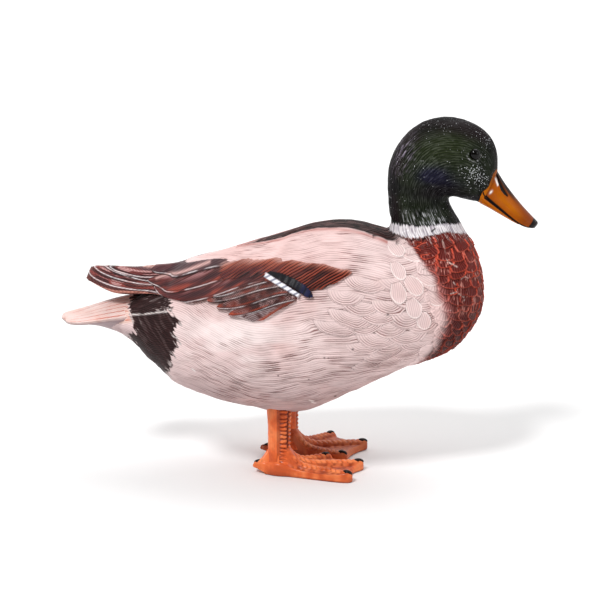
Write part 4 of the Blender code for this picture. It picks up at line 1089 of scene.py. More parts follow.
def head_paint(points, fold, stations, distance):
    x, y, z = points[..., 0], points[..., 1], points[..., 2]
    deg = np.degrees(fold)
    s = np.broadcast_to(stations[:, None], deg.shape)
    patch = fractal(points, 15, 61)
    low = np.interp(deg, COLLAR_ANGLE, COLLAR_LOW)
    high = np.interp(deg, COLLAR_ANGLE, COLLAR_HIGH)
    green = mix(rgb(31, 38, 23) + 0 * points, rgb(13, 17, 12), smooth(0.35, 0.7, patch))
    plum = mix(rgb(28, 19, 22) + 0 * points, rgb(13, 9, 11), smooth(0.4, 0.7, patch))
    back = smooth(62, 34, deg + 22 * (patch - 0.5)) * smooth(27.6, 25.5, s)
    crown = smooth(46, 26, deg + 14 * (patch - 0.5)) * smooth(22, 24, s)
    front = smooth(146, 164, deg) * smooth(20.5, 18.5, s)
    under = smooth(128, 158, deg + 10 * (patch - 0.5)) * smooth(20, 22, s)
    face = smooth(26.7, 27.9, s)
    paint = mix(green, plum, np.clip(np.maximum(np.maximum(back, crown), front), 0, 1))
    paint = mix(paint, rgb(20, 18, 24), np.clip(under, 0, 1))
    navy = near(points, (108, 25, 246), (11, 10, 7)) + 0.5 * near(points, (120, 23, 238), (11, 10, 5)) + 0.4 * near(points, (103, 26, 246), (8, 9, 7))
    paint = mix(paint, rgb(24, 22, 46), np.clip(1.1 * navy, 0, 0.9))
    shadow = near(points, (112, 25, 232), (24, 14, 8))
    paint = mix(paint, rgb(17, 12, 17), np.clip(1.1 * shadow, 0, 0.85))
    olive = near(points, (112, 25, 268), (22, 14, 12))
    paint = mix(paint, rgb(44, 52, 28), np.clip(0.8 * olive, 0, 0.7))
    lilac = near(points, (106, 25, 255), (10, 9, 7))
    paint = mix(paint, rgb(30, 22, 22), 0.8 * face * smooth(120, 60, deg))
    # white dots and flecks left by the brush
    cheek = near(points, (139, 24, 247), (9, 9, 7.5)) + 0.8 * near(points, (147, 18, 240), (6, 9, 7))
    brow = near(points, (148, 16, 272), (7, 9, 8)) + 0.6 * near(points, (133, 26, 252), (9, 9, 9))
    dots = np.clip(1.0 * cheek + 0.42 * brow + 0.12 * np.clip(crown, 0, 1) + 0.10 * np.clip(back, 0, 1), 0, 1)
    ring = np.hypot(x - EYE_CENTRE[0], (z - EYE_CENTRE[2]) * 1.04)
    lid = np.exp(-(((ring - 5.3) / 0.6) ** 2)) * smooth(1.5, -1.5, z - EYE_CENTRE[2]) * (np.abs(y) > 15)
    paint = mix(paint, rgb(176, 174, 176), 0.6 * lid * smooth(0.45, 0.6, noise(points, 0.9, 68)))
    # strokes: x of the pattern runs round the neck, so each fleck is long up and down it
    round_neck = np.stack([deg * 0.62 + 3 * np.sign(y), distance / 7.5, s * 0], -1)
    fleck = smooth(0.56, 0.76, noise(round_neck, (0.55, 0.5, 1.0), 65))
    low_neck = smooth(high + 15, high + 2, z) * smooth(48, 62, deg) * smooth(140, 118, deg) * (s < 19.5)
    nape = near(points, (84, 20, 268), (9, 14, 12)) + 0.7 * near(points, (79, 16, 254), (7, 12, 12))
    paint = mix(paint, rgb(206, 206, 210), 0.80 * fleck * np.clip(low_neck, 0, 1))
    paint = mix(paint, rgb(146, 134, 152), 0.55 * fleck * np.clip(nape, 0, 1))
    # the white collar and its brushed upper edge
    comb = (noise(np.stack([deg * 0.75, z * 0.25, np.sign(y)], -1), 1.0, 8) - 0.5) * 2
    collar = smooth(0.5, -0.5, z - high - 1.6 * comb) * (x > 60) * (s < 18)
    strand = noise(np.stack([deg * 0.95, z * 0.22, np.sign(y)], -1), 1.0, 30)
    white = mix(rgb(226, 220, 226) + 0 * points, rgb(148, 136, 150), 0.85 * smooth(0.42, 0.72, strand))
    paint = mix(paint, white, collar)
    # the bill's colour starts on the face, and its mouth line with it
    bare = smooth(-0.05, 0.05, s - np.interp(deg, FACE_ANGLE, FACE_STATION) + 0.10 * (noise(points, 1.8, 67) - 0.5))
    amber = mix(rgb(194, 106, 12) + 0 * points, rgb(120, 58, 12), smooth(95, 60, deg) * 0.8)
    paint = mix(paint, amber, bare)
    mouth = np.interp(s, MOUTH_STATION, MOUTH_ANGLE)
    paint = mix(paint, rgb(12, 8, 8), smooth(3.6, 2.2, np.abs(deg - mouth)) * smooth(MOUTH_STATION[0] - 0.1, MOUTH_STATION[0], s))
    mask = np.zeros(points.shape[:2] + (4,))
    mask[..., 0] = np.clip(dots, 0, 1) * (1 - bare) * (1 - collar)
    mask[..., 1] = 0.05
    mask[..., 2] = np.where(collar > 0.5, 0.5, 0.85)
    mask[..., 2] *= 1 - bare
    mask[..., 3] = (1 - bare) * (1 - 0.75 * np.clip(np.maximum(np.maximum(back, 0.8 * crown), front) - 1.3 * nape, 0, 1)) * (0.30 + 0.45 * np.clip(nape + 0.8 * low_neck + 1.2 * lilac, 0, 1) + 0.15 * (1 - under)) * (1 - collar)
    return np.clip(paint, 0, 1), mask


def head_shape(points, normals, fold, stations, distance):
    deg = np.degrees(fold)
    side = np.sign(points[..., 1])
    height = -0.45 + 0.30 * (fractal(points, 6, 71) - 0.5) * 2
    streak = noise(np.stack([deg * 0.5 + 5 * side, distance / 9.0, 0 * deg], -1), 1.0, 72)
    height = height + 0.22 * (streak - 0.5) * 2
    centre = np.array(EYE_CENTRE)
    d = np.stack([points[..., 0], np.abs(points[..., 1]), points[..., 2]], -1) - centre
    flat = np.sqrt(d[..., 0] ** 2 + (d[..., 2] * 1.04) ** 2)
    here = d[..., 1] > -6
    lid = 0.55 * np.exp(-(((flat - 4.7) / 0.8) ** 2)) - 0.7 * smooth(4.4, 3.6, flat)
    orbit = -0.30 * np.exp(-(((flat - 7.6) / 2.0) ** 2)) + 0.25 * np.exp(-(((flat - 11) / 2.5) ** 2))
    height = height + np.where(here, lid + orbit, 0)
    # the bare face is smooth and level with the bill
    bare = smooth(26.6, 27.3, stations)[:, None]
    height = height * (1 - bare) - 0.25 * bare
    return height


def make_head(body_stations, body_points, body_normals, body_paint_, body_mask, body_lines, material):
    columns = body_points.shape[1] // 2
    start = body_stations[-1]
    stations = rows_between(start, len(STATIONS) - 1, 0.52 / DETAIL, (1.0, 1.0, 1.0))
    points, normals, angle = tube_grid(stations, columns)
    fold = np.pi - np.abs(np.broadcast_to(angle[None, :], points.shape[:2]) - np.pi)
    along = np.linalg.norm(np.diff(points, axis=0), axis=-1)
    distance = np.concatenate([np.zeros((1, columns)), np.cumsum(along, 0)])
    paint, mask = head_paint(points, fold, stations, distance)
    height = head_shape(points, normals, fold, stations, distance)
    fade = smooth(0, 3, distance)
    border = body_points[-1, ::2]
    first = ((border - points[0]) * normals[0]).sum(-1)
    height = height * fade + first[None] * (1 - fade)
    carved = points + normals * height[..., None]
    carved[0] = border
    waver = 0.8 * (noise(points, 16, 73) - 0.5) * 2
    wide = np.broadcast_to(np.degrees(angle)[None], height.shape)
    lines = np.stack([wide * LINES_PER_DEGREE + waver * fade, distance, 0 * height], -1)
    # close the end where it meets the bill
    centre = carved[-1].mean(0)
    ends = np.stack([centre + (carved[-1] - centre) * k + np.array([-0.5, 0, 0.2]) * m for k, m in ((0.93, 0.3), (0.6, 1), (0.03, 1))])
    carved = np.concatenate([carved, ends])
    paint, mask, lines = (np.concatenate([f, np.repeat(f[-1:], 3, 0)]) for f in (paint, mask, lines))
    shade = grid_normals(carved, True)
    shade = shade if (shade[:-4] * normals[: len(shade) - 4]).sum() > 0 else -shade
    shade[0] = body_normals[-1, ::2]
    paint[0], mask[0] = body_paint_[-1, ::2], body_mask[-1, ::2]
    lines[0] = body_lines[-1, ::2]
    # two halves, each with a strip of triangles down to the trunk's finer ring
    rows = len(carved)
    for side, (c0, c1) in zip(("left", "right"), ((0, columns // 2), (columns // 2, columns))):
        cols = np.arange(c0, c1 + 1) % columns
        n = np.arange(rows * len(cols)).reshape(rows, len(cols))
        odd = (2 * np.arange(c0, c1) + 1) % (2 * columns)
        extra = n.size + np.arange(len(odd))
        join = lambda grid, ring: np.concatenate([grid[:, cols].reshape(-1, grid.shape[-1]), ring[odd]])
        uv = flat_map(carved[:, cols], rows, len(cols))
        between = (uv[n[0, :-1]] + uv[n[0, 1:]]) / 2
        uv = np.concatenate([uv, between])
        low = carved[0, cols] * 0 + 1
        faces = quads(n)
        keep = faces[len(cols) - 1 :]
        first_row = np.stack([n[0, :-1], extra, n[1, :-1]], -1)
        second = np.stack([extra, n[0, 1:], n[1, 1:]], -1)
        third = np.stack([extra, n[1, 1:], n[1, :-1]], -1)
        tris = np.concatenate([first_row, second, third])
        surface_piece(
            "head_" + side, join(carved, body_points[-1]), join(shade, body_normals[-1]), keep, uv,
            join(paint, body_paint_[-1]), join(mask, body_mask[-1]), join(lines, body_lines[-1]),
            material, ("head", "neck") if side == "left" else (), tris,
        )




# ---------------------------------------------------------------- wings
# Feathers of the folded wing in side view, from the lowest to the uppermost. Each: tag, kind, width, shaft from
# root to tip (x, z), how far its lower side is lifted. The line is the middle of the feather.
SECONDARIES = (
    ("secondary", "secondary", 8.4, ((6, 158.5), (-12, 154.4), (-26, 149.2), (-41, 143.6), (-51, 140.6)), 0.30),
    ("secondary", "secondary", 8.0, ((0, 163), (-18, 158.6), (-34, 152.8), (-49, 148.4), (-61, 145.6)), 0.34),
    ("secondary", "secondary", 8.2, ((-6, 167.5), (-28, 163), (-44, 157.6), (-60, 152.6), (-69, 150.2)), 0.38),
    ("secondary", "secondary", 8.2, ((-12, 171.5), (-35, 165.4), (-51, 159.4), (-64, 155.6), (-75, 153.4)), 0.40),
)
PRIMARIES = (
    ("under", "primary", 12.0, ((-88, 151), (-108, 149), (-128, 147.6), (-150, 149), (-171, 155.5)), 0.0),
    ("primary", "primary", 6.4, ((-88, 153), (-108, 151.0), (-130, 151.4), (-151, 154.6), (-164, 158.6), (-175, 162.8)), 0.40),
    ("primary", "primary", 5.8, ((-88, 157), (-108, 155.5), (-126, 155.2), (-149, 159.4), (-159, 162.4), (-171, 166.2)), 0.36),
    ("primary", "primary", 5.4, ((-88, 160), (-108, 158.5), (-123, 157.4), (-142, 161.4), (-158, 166.2), (-164, 168.0)), 0.34),
    ("primary", "primary", 8.0, ((-84, 165), (-104, 163.5), (-122, 161.4), (-139, 163.2), (-153, 166.6), (-160, 169.0)), 0.30),
)
TERTIALS = (
    ("tertial", "tertial", 12.5, ((-24, 171), (-45, 165.5), (-64, 159), (-84, 153.5), (-100, 151.6), (-118, 151.6)), 0.45),
    ("tertial", "tertial", 12.0, ((-30, 176), (-55, 171), (-72, 165.8), (-90, 160.6), (-110, 156), (-124, 156.0)), 0.50),
    ("plum", "tertial", 12.5, ((-38, 181), (-60, 178.6), (-84, 173.2), (-103, 167.2), (-122, 163.6)), 0.50),
)
# The pale fan of feather ends below the secondaries: left end, corner, right end, and the line above them.
FAN_LOW = ((-50.5, 144.6), (-38.7, 138.9), (-27.2, 134.9), (-12, 145.5), (2.2, 154.6))
FAN_HIGH = ((-50.5, 145.0), (-38, 147.5), (-20, 153), (2.2, 157))
FAN_HUB = (12.0, 160.0)
COVERTS_LOW = ((49, 174.6), (45, 172.6), (38, 168.6), (32, 165.8), (23, 163.2), (15, 162.6), (4, 161.5), (-22, 171.5), (-34, 168.5), (-46, 167.0), (-58, 166.0))
COVERTS_HIGH = ((49, 176.2), (42, 178.6), (24, 182.4), (10, 183.0), (-5, 183.2), (-33, 181.5), (-43, 180.2), (-60, 175.0))
SPECULUM_HIGH = ((-22, 172.4), (-19, 173.8), (-9, 172.9), (1, 169.6), (9, 165.8), (14, 161.5), (16, 157.5))
SPECULUM_LOW = ((-22, 172.0), (-9, 166.8), (4, 160.8), (9, 157.4), (13, 155.8), (16, 157.0))
BAR = ((-23.0, 171.0), (-9.5, 164.9), (4.8, 158.0))  # middle of the white bar under the speculum
BAR_WIDTH = 3.4


def line_frame(x, z, curve):
    """Distance along and above a smooth line in the side view, for a line that runs towards the tail."""
    line = spline(curve, np.linspace(0, len(curve) - 1, 7 * (len(curve) - 1) + 1))
    step = np.diff(line, axis=0)
    size = np.linalg.norm(step, axis=1)
    start = np.concatenate([[0], np.cumsum(size)])
    best = np.full(x.shape, 1e9)
    along, above = np.zeros(x.shape), np.zeros(x.shape)
    for k, (p, d, n) in enumerate(zip(line, step, size)):
        dx, dz = d / n
        t = (x - p[0]) * dx + (z - p[1]) * dz
        lo = -1e9 if k == 0 else 0
        hi = 1e9 if k == len(step) - 1 else n
        t = np.clip(t, lo, hi)
        ox, oz = x - p[0] - t * dx, z - p[1] - t * dz
        far = np.hypot(ox, oz)
        closer = far < best
        best = np.where(closer, far, best)
        along = np.where(closer, start[k] + t, along)
        above = np.where(closer, far * np.sign(ox * dz - oz * dx), above)
    return along, above, start[-1]


def between(x, z, low, high, soft):
    """1 between two lines given as z over x, fading over soft mm."""
    lx, lz = np.array(sorted(low)).T
    hx, hz = np.array(sorted(high)).T
    over = smooth(-soft, soft, z - np.interp(x, lx, lz))
    under = smooth(-soft, soft, np.interp(x, hx, hz) - z)
    ends = smooth(min(lx[0], hx[0]) - soft, min(lx[0], hx[0]) + soft, x) * smooth(
        max(lx[-1], hx[-1]) + soft, max(lx[-1], hx[-1]) - soft, x
    )
    return over * under * ends


def wing_fields():
    """The outer face of the left wing: points, paint and pattern."""
    nu, nv = int(430 * DETAIL), int(118 * DETAIL)
    edge = 6
    u = np.linspace(0, 1, nu)
    v = np.linspace(0, 1, nv)
    grid_u, grid_v = np.meshgrid(u, v, indexing="ij")
    points = wing_point(grid_u, grid_v)
    rim = np.minimum(1, np.minimum(grid_v * 6, (1 - grid_v) * 10)) * np.minimum(1, np.minimum(grid_u * 12, (1 - grid_u) * 14))
    rim = smooth(0, 1, rim)
    points[..., 1] -= (1 - rim) * WING_SINK
    points[..., 1] = np.maximum(points[..., 1], WING_RIDGE_Y)
    # behind the trunk the sheet turns in towards the other wing in an easy curve
    spread = int(30 * DETAIL)
    bell = np.exp(-((np.arange(-spread, spread + 1) / (0.45 * spread)) ** 2))
    padded = np.concatenate([np.repeat(points[:1, :, 1], spread, 0), points[..., 1], np.repeat(points[-1:, :, 1], spread, 0)])
    easy = sum(w * padded[k : k + nu] for k, w in enumerate(bell / bell.sum()))
    points[..., 1] += np.maximum(easy - points[..., 1], 0) * smooth(-84, -96, points[..., 0])
    normals = grid_normals(points, False)
    normals *= np.sign((normals[..., 1]).sum())
    x, z = points[..., 0], points[..., 2]
    coat = Coat(points, normals)
    everywhere = np.ix_(np.arange(nu), np.arange(nv))
    rng = np.random.default_rng(ROUGH_SEED + 5)
    level = 0.0
    for group in (PRIMARIES, SECONDARIES, TERTIALS):
        for tag, kind, width, curve, tilt in group:
            along, above, length = line_frame(x, z, curve)
            level += 1.0
            coat.lay(everywhere, along, above, length, width, kind, level * 2, rng.random(), None, 0.0, -tilt, tag)
    # coverts and speculum lie over the roots
    warp = 1.5 * (fractal(points, 16, 81) - 0.5) * 2
    slope = math.radians(31)
    across = (-x * math.sin(slope) + z * math.cos(slope) + warp) / 1.9
    ragged = 1.5 * (noise(np.stack([across * 0.55, 0 * x, 0 * x], -1), 1.0, 82) - 0.5) * 2
    coverts = between(x, z + ragged, COVERTS_LOW, COVERTS_HIGH, 2.4)
    stroke = across
    panel = between(x, z, SPECULUM_LOW, SPECULUM_HIGH, 0.55)
    along, above, length = line_frame(x, z, BAR)
    bar = smooth(BAR_WIDTH / 2 + 0.35, BAR_WIDTH / 2 - 0.35, np.abs(above)) * smooth(-0.8, 0.4, -along + length)
    bar = bar * smooth(-0.6, 0.4, along)
    covert_here = coverts > 0.5
    speculum_here = (panel > 0.5) | (bar > 0.5)
    height, ridge, line = coat.relief()
    none = coat.number < 0
    run_on = (x * math.cos(slope) + z * math.sin(slope)) / 11
    uneven = noise(np.stack([stroke * 0.9, run_on, 0 * x], -1), 1.0, 89)
    crest = np.clip((0.5 + 0.5 * np.cos(2 * np.pi * stroke)) * (0.25 + 1.4 * uneven), 0, 1)
    fan = between(x, z, FAN_LOW, FAN_HIGH, 0.45) * ~(covert_here | speculum_here)
    fan_here = (fan > 0.5) & none
    hub = np.stack([x - FAN_HUB[0], z - FAN_HUB[1]], -1)
    spoke = np.degrees(np.arctan2(-hub[..., 1], -hub[..., 0])) / 1.75 + 0.35 * np.sin(np.hypot(hub[..., 0], hub[..., 1]) / 6)
    spokes = 0.5 + 0.5 * np.cos(2 * np.pi * spoke)
    height = np.where(covert_here, 0.25 + 0.62 * (crest - 0.5), height)
    slats = 0.5 + 0.5 * np.cos(2 * np.pi * along / 5.1)
    height = np.where(speculum_here, 0.45 + 0.15 * slats, height)
    # nothing laid here: the sheet dips into the trunk, except on the free end
    height = np.where(fan_here, 0.15 + 0.30 * (spokes - 0.5), height)
    bare = none & ~covert_here & ~speculum_here & ~fan_here
    upper = smooth(0.5, 0.35, grid_v)
    fall = np.interp(x, (-112, -104), (0, 1))
    sink = np.where(bare, -(WING_PROUD + 2.2) * fall, 0)
    # the front of the wing blends into the shoulder
    front = smooth(-14, 6, x) * (1 - np.clip(panel + bar + fan, 0, 1))
    blend = np.clip(1 - coverts, 0, 1) * front
    height = height * (1 - blend) - (WING_PROUD + 1.8) * blend
    top = smooth(-66, -44, x) * smooth(0.24, 0.04, grid_v)
    height = height - 2.6 * top * (1 - coverts)
    height = height * ~bare + sink
    carved = points + normals * (height - 0.25)[..., None]
    carved[..., 1] = np.maximum(carved[..., 1], 0.25)

    # paint
    grain = fractal(points, 7, 83)
    tone = noise(points, (20, 20, 6), 84)
    low_edge = coat.beside + coat.reach  # distance above the feather's lower edge
    a = np.clip(coat.along / coat.length, 0, 1)
    barb = 0.5 + 0.5 * np.cos(2 * np.pi * coat.phase())
    paint = mix(rgb(150, 96, 88) + 0 * points, rgb(186, 140, 130), tone)
    # painted highlight: a white line along each feather's lower edge, broken up by noise
    highlight_breakup = smooth(0.36, 0.62, fractal(points, 8, 85) + np.where(coat.tagged("primary"), 0.16, 0.04))
    white_line = np.exp(-(((low_edge - 0.72) / np.where(coat.tagged("primary"), 0.34, 0.27)) ** 2)) * highlight_breakup
    black_line = np.maximum(smooth(0.5, 0.15, low_edge), 0.7 * np.exp(-(((low_edge - 1.45) / 0.35) ** 2)))
    shadow = np.zeros(x.shape)
    for k in range(1, max(2, int(4 * DETAIL)) + 1):
        other = np.roll(coat.number, k, 1)
        hit = (other != coat.number) & (other > coat.number)
        hit[:, :k] = False
        shadow = np.maximum(shadow, hit * (1 - 0.2 * k))
    prim = mix(rgb(92, 42, 44) + 0 * points, rgb(146, 68, 60), tone)
    quill = noise(np.stack([coat.along / 11, coat.beside * 1.1, coat.seed * 40], -1), 1.0, 96)
    prim = mix(prim, rgb(40, 22, 26), 0.8 * smooth(0.50, 0.66, quill))
    prim = mix(prim, rgb(206, 160, 158), 0.7 * smooth(0.44, 0.32, quill))
    prim = mix(prim, rgb(92, 66, 72), 0.8 * smooth(0.8, 2.8, coat.beside) * (coat.half > 3.5))
    prim = mix(prim, rgb(48, 30, 32), 0.7 * smooth(0.5, 2.4, coat.beside) * (coat.half <= 3.5))
    paint = mix(paint, prim, coat.tagged("primary") * 1.0)
    paint = mix(paint, mix(rgb(186, 124, 110) + 0 * points, rgb(84, 42, 40), smooth(0.34, 0.6, quill)), coat.tagged("under") * 1.0)
    second = mix(rgb(64, 34, 33) + 0 * points, rgb(196, 160, 158), 0.85 * smooth(0.45, 0.9, barb) * smooth(0.36, 0.58, grain))
    second = mix(second, rgb(124, 56, 46), 0.6 * smooth(0.38, 0.60, fractal(points, 11, 94)))
    orange = smooth(0.88, 0.99, a) + 0.75 * np.exp(-(((low_edge - 2.3) / 0.55) ** 2)) * smooth(0.4, 0.7, tone)
    second = mix(second, rgb(178, 76, 52), np.clip(orange, 0, 1) * 0.8)
    paint = mix(paint, second, coat.tagged("secondary") * 1.0)
    tert = mix(rgb(108, 50, 47) + 0 * points, rgb(54, 36, 42), np.exp(-(((coat.beside + 0.8) / 2.6) ** 2)) * (0.4 + 0.5 * tone) * smooth(0.98, 0.75, a))
    tert = mix(tert, rgb(160, 76, 60), 0.45 * smooth(-1.5, -4.5, coat.beside) * smooth(0.3, 0.8, barb) * smooth(0.9, 0.4, a))
    tert = mix(tert, rgb(150, 104, 104), 0.5 * smooth(1.5, 4.0, coat.beside) * smooth(0.35, 0.6, grain))
    thread = noise(np.stack([coat.phase() * 1.4, coat.along / 14, coat.seed * 40], -1), 1.0, 95)
    tert = mix(tert, rgb(40, 24, 28), 0.55 * smooth(0.50, 0.66, thread))
    tert = mix(tert, rgb(176, 130, 132), 0.5 * smooth(0.46, 0.30, thread) * smooth(-1.0, 3.5, coat.beside))
    tert = mix(tert, rgb(172, 76, 58), 0.5 * smooth(0.44, 0.30, thread) * smooth(0.5, -3.0, coat.beside))
    paint = mix(paint, tert, coat.tagged("tertial") * 1.0)
    plum = mix(rgb(86, 52, 56) + 0 * points, rgb(150, 106, 106), smooth(0.5, 5.0, coat.beside + 4 * (grain - 0.5)))
    plum = mix(plum, rgb(52, 30, 36), 0.7 * smooth(0.52, 0.68, thread) * smooth(3.0, -1.0, coat.beside))
    paint = mix(paint, plum, coat.tagged("plum") * 1.0)
    paint = mix(paint, rgb(222, 178, 172), 0.75 * exp_line(x, z, ((-117, 157.5), (-98, 164.5), (-71, 174.5)), 1.0))
    lined = coat.tagged("primary") | coat.tagged("secondary") | coat.tagged("tertial") | coat.tagged("plum")
    paint = mix(paint, rgb(30, 20, 22), lined * np.maximum(black_line, 0.75 * shadow) * 0.85)
    strength = np.where(coat.tagged("primary"), 0.95, np.where(coat.tagged("secondary"), 0.85, 0.9))
    # the painted highlight along the feathers' lower edges
    paint = mix(paint, rgb(226, 220, 222), lined * white_line * strength * smooth(0.02, 0.2, a) * (0.7 + 0.3 * smooth(0.3, 0.6, noise(points, 3.5, 97))))
    pink = mix(rgb(222, 190, 182) + 0 * points, rgb(196, 150, 142), tone)
    pink = mix(pink, rgb(104, 60, 54), smooth(-140, -156, x))
    paint = mix(paint, pink, bare * 1.0)
    # the coverts: orange ridges, near-black grooves, fading to pink at their upper edge
    fire = mix(rgb(90, 32, 27) + 0 * points, rgb(82, 42, 45), smooth(0, -30, x) * 0.8)
    fire = mix(fire, rgb(178, 82, 60), smooth(0.50, 0.92, crest) * (0.45 + 0.6 * grain) * (1 - 0.45 * smooth(-12, -40, x)))
    dark = smooth(0.52, 0.20, crest) * smooth(0.30, 0.50, fractal(points, 9, 87) + 0.16 * smooth(-25, 25, x) - 0.05)
    fire = mix(fire, rgb(30, 14, 14), dark)
    soft = smooth(7.5, 0.5, np.interp(x, [p for p, _ in sorted(COVERTS_HIGH)], [q for _, q in sorted(COVERTS_HIGH)]) - z - ragged)
    fire = mix(fire, mix(rgb(206, 124, 98) + 0 * points, rgb(140, 70, 58), 1 - crest), 0.8 * soft)
    top_gap = np.interp(x, [p for p, _ in sorted(COVERTS_HIGH)], [q for _, q in sorted(COVERTS_HIGH)]) - z - ragged
    stray = noise(np.stack([across * 0.9, 0 * x + 5, 0 * x], -1), 1.0, 99)
    fire = mix(fire, rgb(220, 178, 168), 0.95 * smooth(0.8 + 6.5 * stray, -0.5, top_gap) * (0.45 + 0.55 * crest))
    rise = between(x, z + ragged, COVERTS_LOW, [(p, q + 5.0) for p, q in COVERTS_HIGH], 3.6)
    haze = mix(mix(pink, rgb(206, 128, 104), 0.7 + 0 * x), rgb(140, 78, 66), smooth(0.5, 0.15, crest))
    paint = mix(paint, haze, smooth(0.05, 0.6, rise) * (1 - coverts) * 0.85 * ~lined * (0.35 + 0.65 * crest))
    brushed_on = between(x, z + 0.6 * ragged, COVERTS_LOW, [(p, q + 1.0) for p, q in COVERTS_HIGH], 5.5)
    paint = mix(paint, fire, np.clip(np.minimum(1.6 * brushed_on, coverts + 0.5 * crest * brushed_on), 0, 1))
    pale_fan = mix(rgb(84, 46, 44) + 0 * points, rgb(206, 192, 194), 0.85 * smooth(0.45, 0.85, spokes) * smooth(0.3, 0.55, fractal(points, 6, 98)))
    right_edge = smooth(4.5, 1.0, z - np.interp(x, (-27.2, 2.2), (134.9, 154.6))) * smooth(-30, -24, x)
    pale_fan = mix(pale_fan, rgb(184, 84, 58), 0.85 * right_edge)
    pale_fan = mix(pale_fan, rgb(92, 42, 36), 0.6 * smooth(-22, -6, x))
    paint = mix(paint, pale_fan, fan_here * 1.0)
    navy = mix(rgb(15, 14, 22) + 0 * points, rgb(30, 32, 66), smooth(1, 10, x + 3 * (grain - 0.5)))
    navy = mix(navy, rgb(10, 9, 13), smooth(0.30, 0.05, slats) * 0.8)
    paint = mix(paint, navy, panel)
    split = smooth(0.42, 0.12, 0.5 + 0.5 * np.cos(2 * np.pi * (along + 0.8 * above) / 5.1))
    white = mix(rgb(236, 236, 242) + 0 * points, rgb(120, 122, 140), split * 0.9)
    paint = mix(paint, white, bar)
    mask = np.zeros(x.shape + (4,))
    mask[..., 0] = ridge * 0.4
    mask[..., 1] = 0.08
    mask[..., 2] = np.where(covert_here, 0.8, np.where(speculum_here, 0.15, np.where(coat.tagged("tertial") | coat.tagged("plum"), 0.45, 0.75)))
    mask[..., 3] = np.where(covert_here, 0.05, np.where(speculum_here, 0.0, 0.28))
    mask[..., 3] = np.where(bare, 0.3, mask[..., 3])
    phase = np.where(none, stroke, coat.phase())
    phase = np.where(fan_here, spoke, phase)
    phase = np.where(covert_here, stroke * 2, np.where(speculum_here, along / 1.3, phase))
    lines = np.stack([phase, np.where(covert_here | none, x, coat.along), coat.seed * 30], -1)
    # wrap the two long edges round to the inner face
    thick = WING_DEEP + (WING_THICK - WING_DEEP) * np.clip((-x - 100) / 30, 0, 1)
    thick = thick * smooth(1.0, 0.985, grid_u) + 0.2
    carved[..., 1] -= 0.5 * (WING_THICK + 0.2 - np.minimum(thick, WING_THICK + 0.2))
    inner = carved.copy()
    inner[..., 1] = np.maximum(points[..., 1] - thick, 0.15)
    inner[..., 1] = np.minimum(inner[..., 1], carved[..., 1] - 0.1)
    fractions = np.array([0.12, 0.35, 0.6, 0.85, 1.0])

    def wrapped(column):
        return [carved[:, column] * (1 - f) + inner[:, column] * f for f in fractions]

    head_side = np.stack(wrapped(0)[::-1], 1)
    tail_side = np.stack(wrapped(-1), 1)
    full = np.concatenate([head_side, carved, tail_side], 1)
    widen = lambda f: np.concatenate([np.repeat(f[:, :1], len(fractions), 1), f, np.repeat(f[:, -1:], len(fractions), 1)], 1)
    shade = grid_normals(full, False)
    if (shade[:, edge:-edge] * normals[:, 1:-1]).sum() < 0:
        shade = -shade
    return full, shade, widen(np.clip(paint, 0, 1)), widen(mask), widen(lines), inner, tone


def make_wings(material):
    full, shade, paint, mask, lines, inner, tone = wing_fields()
    rows, cols = full.shape[:2]
    n = np.arange(rows * cols).reshape(rows, cols)
    step = max(1, int(4 * DETAIL))
    pick_r = np.unique(np.r_[0 : rows : step, rows - 1])
    pick_c = np.unique(np.r_[0 : inner.shape[1] : step, inner.shape[1] - 1])
    under = inner[np.ix_(pick_r, pick_c)]
    m = np.arange(under.shape[0] * under.shape[1]).reshape(under.shape[:2])
    under_paint = mix(rgb(176, 112, 100) + 0 * under, rgb(110, 66, 60), fractal(under, 12, 88))
    under_mask = np.zeros(under.shape[:2] + (4,))
    under_mask[..., 2] = 0.5
    under_lines = np.stack([under[..., 2] / 1.5, under[..., 0], 0 * under[..., 0]], -1)
    for side, sign in (("left", 1), ("right", -1)):
        flip = np.array([1, sign, 1])
        surface_piece(
            "wing_feathers_" + side, full * flip, shade * flip, quads(n), flat_map(full, rows, cols), paint, mask, lines,
            material, ("wing_" + side, "primaries_" + side),
        )
        down = grid_normals(under, False)
        down = down * (-1 if down[..., 1].sum() > 0 else 1)
        surface_piece(
            "wing_inner_" + side, under * flip, down * flip, quads(m), flat_map(under, *m.shape), under_paint,
            under_mask, under_lines, material, (),
        )




# ---------------------------------------------------------------- tail
TAIL_FEATHERS = 13


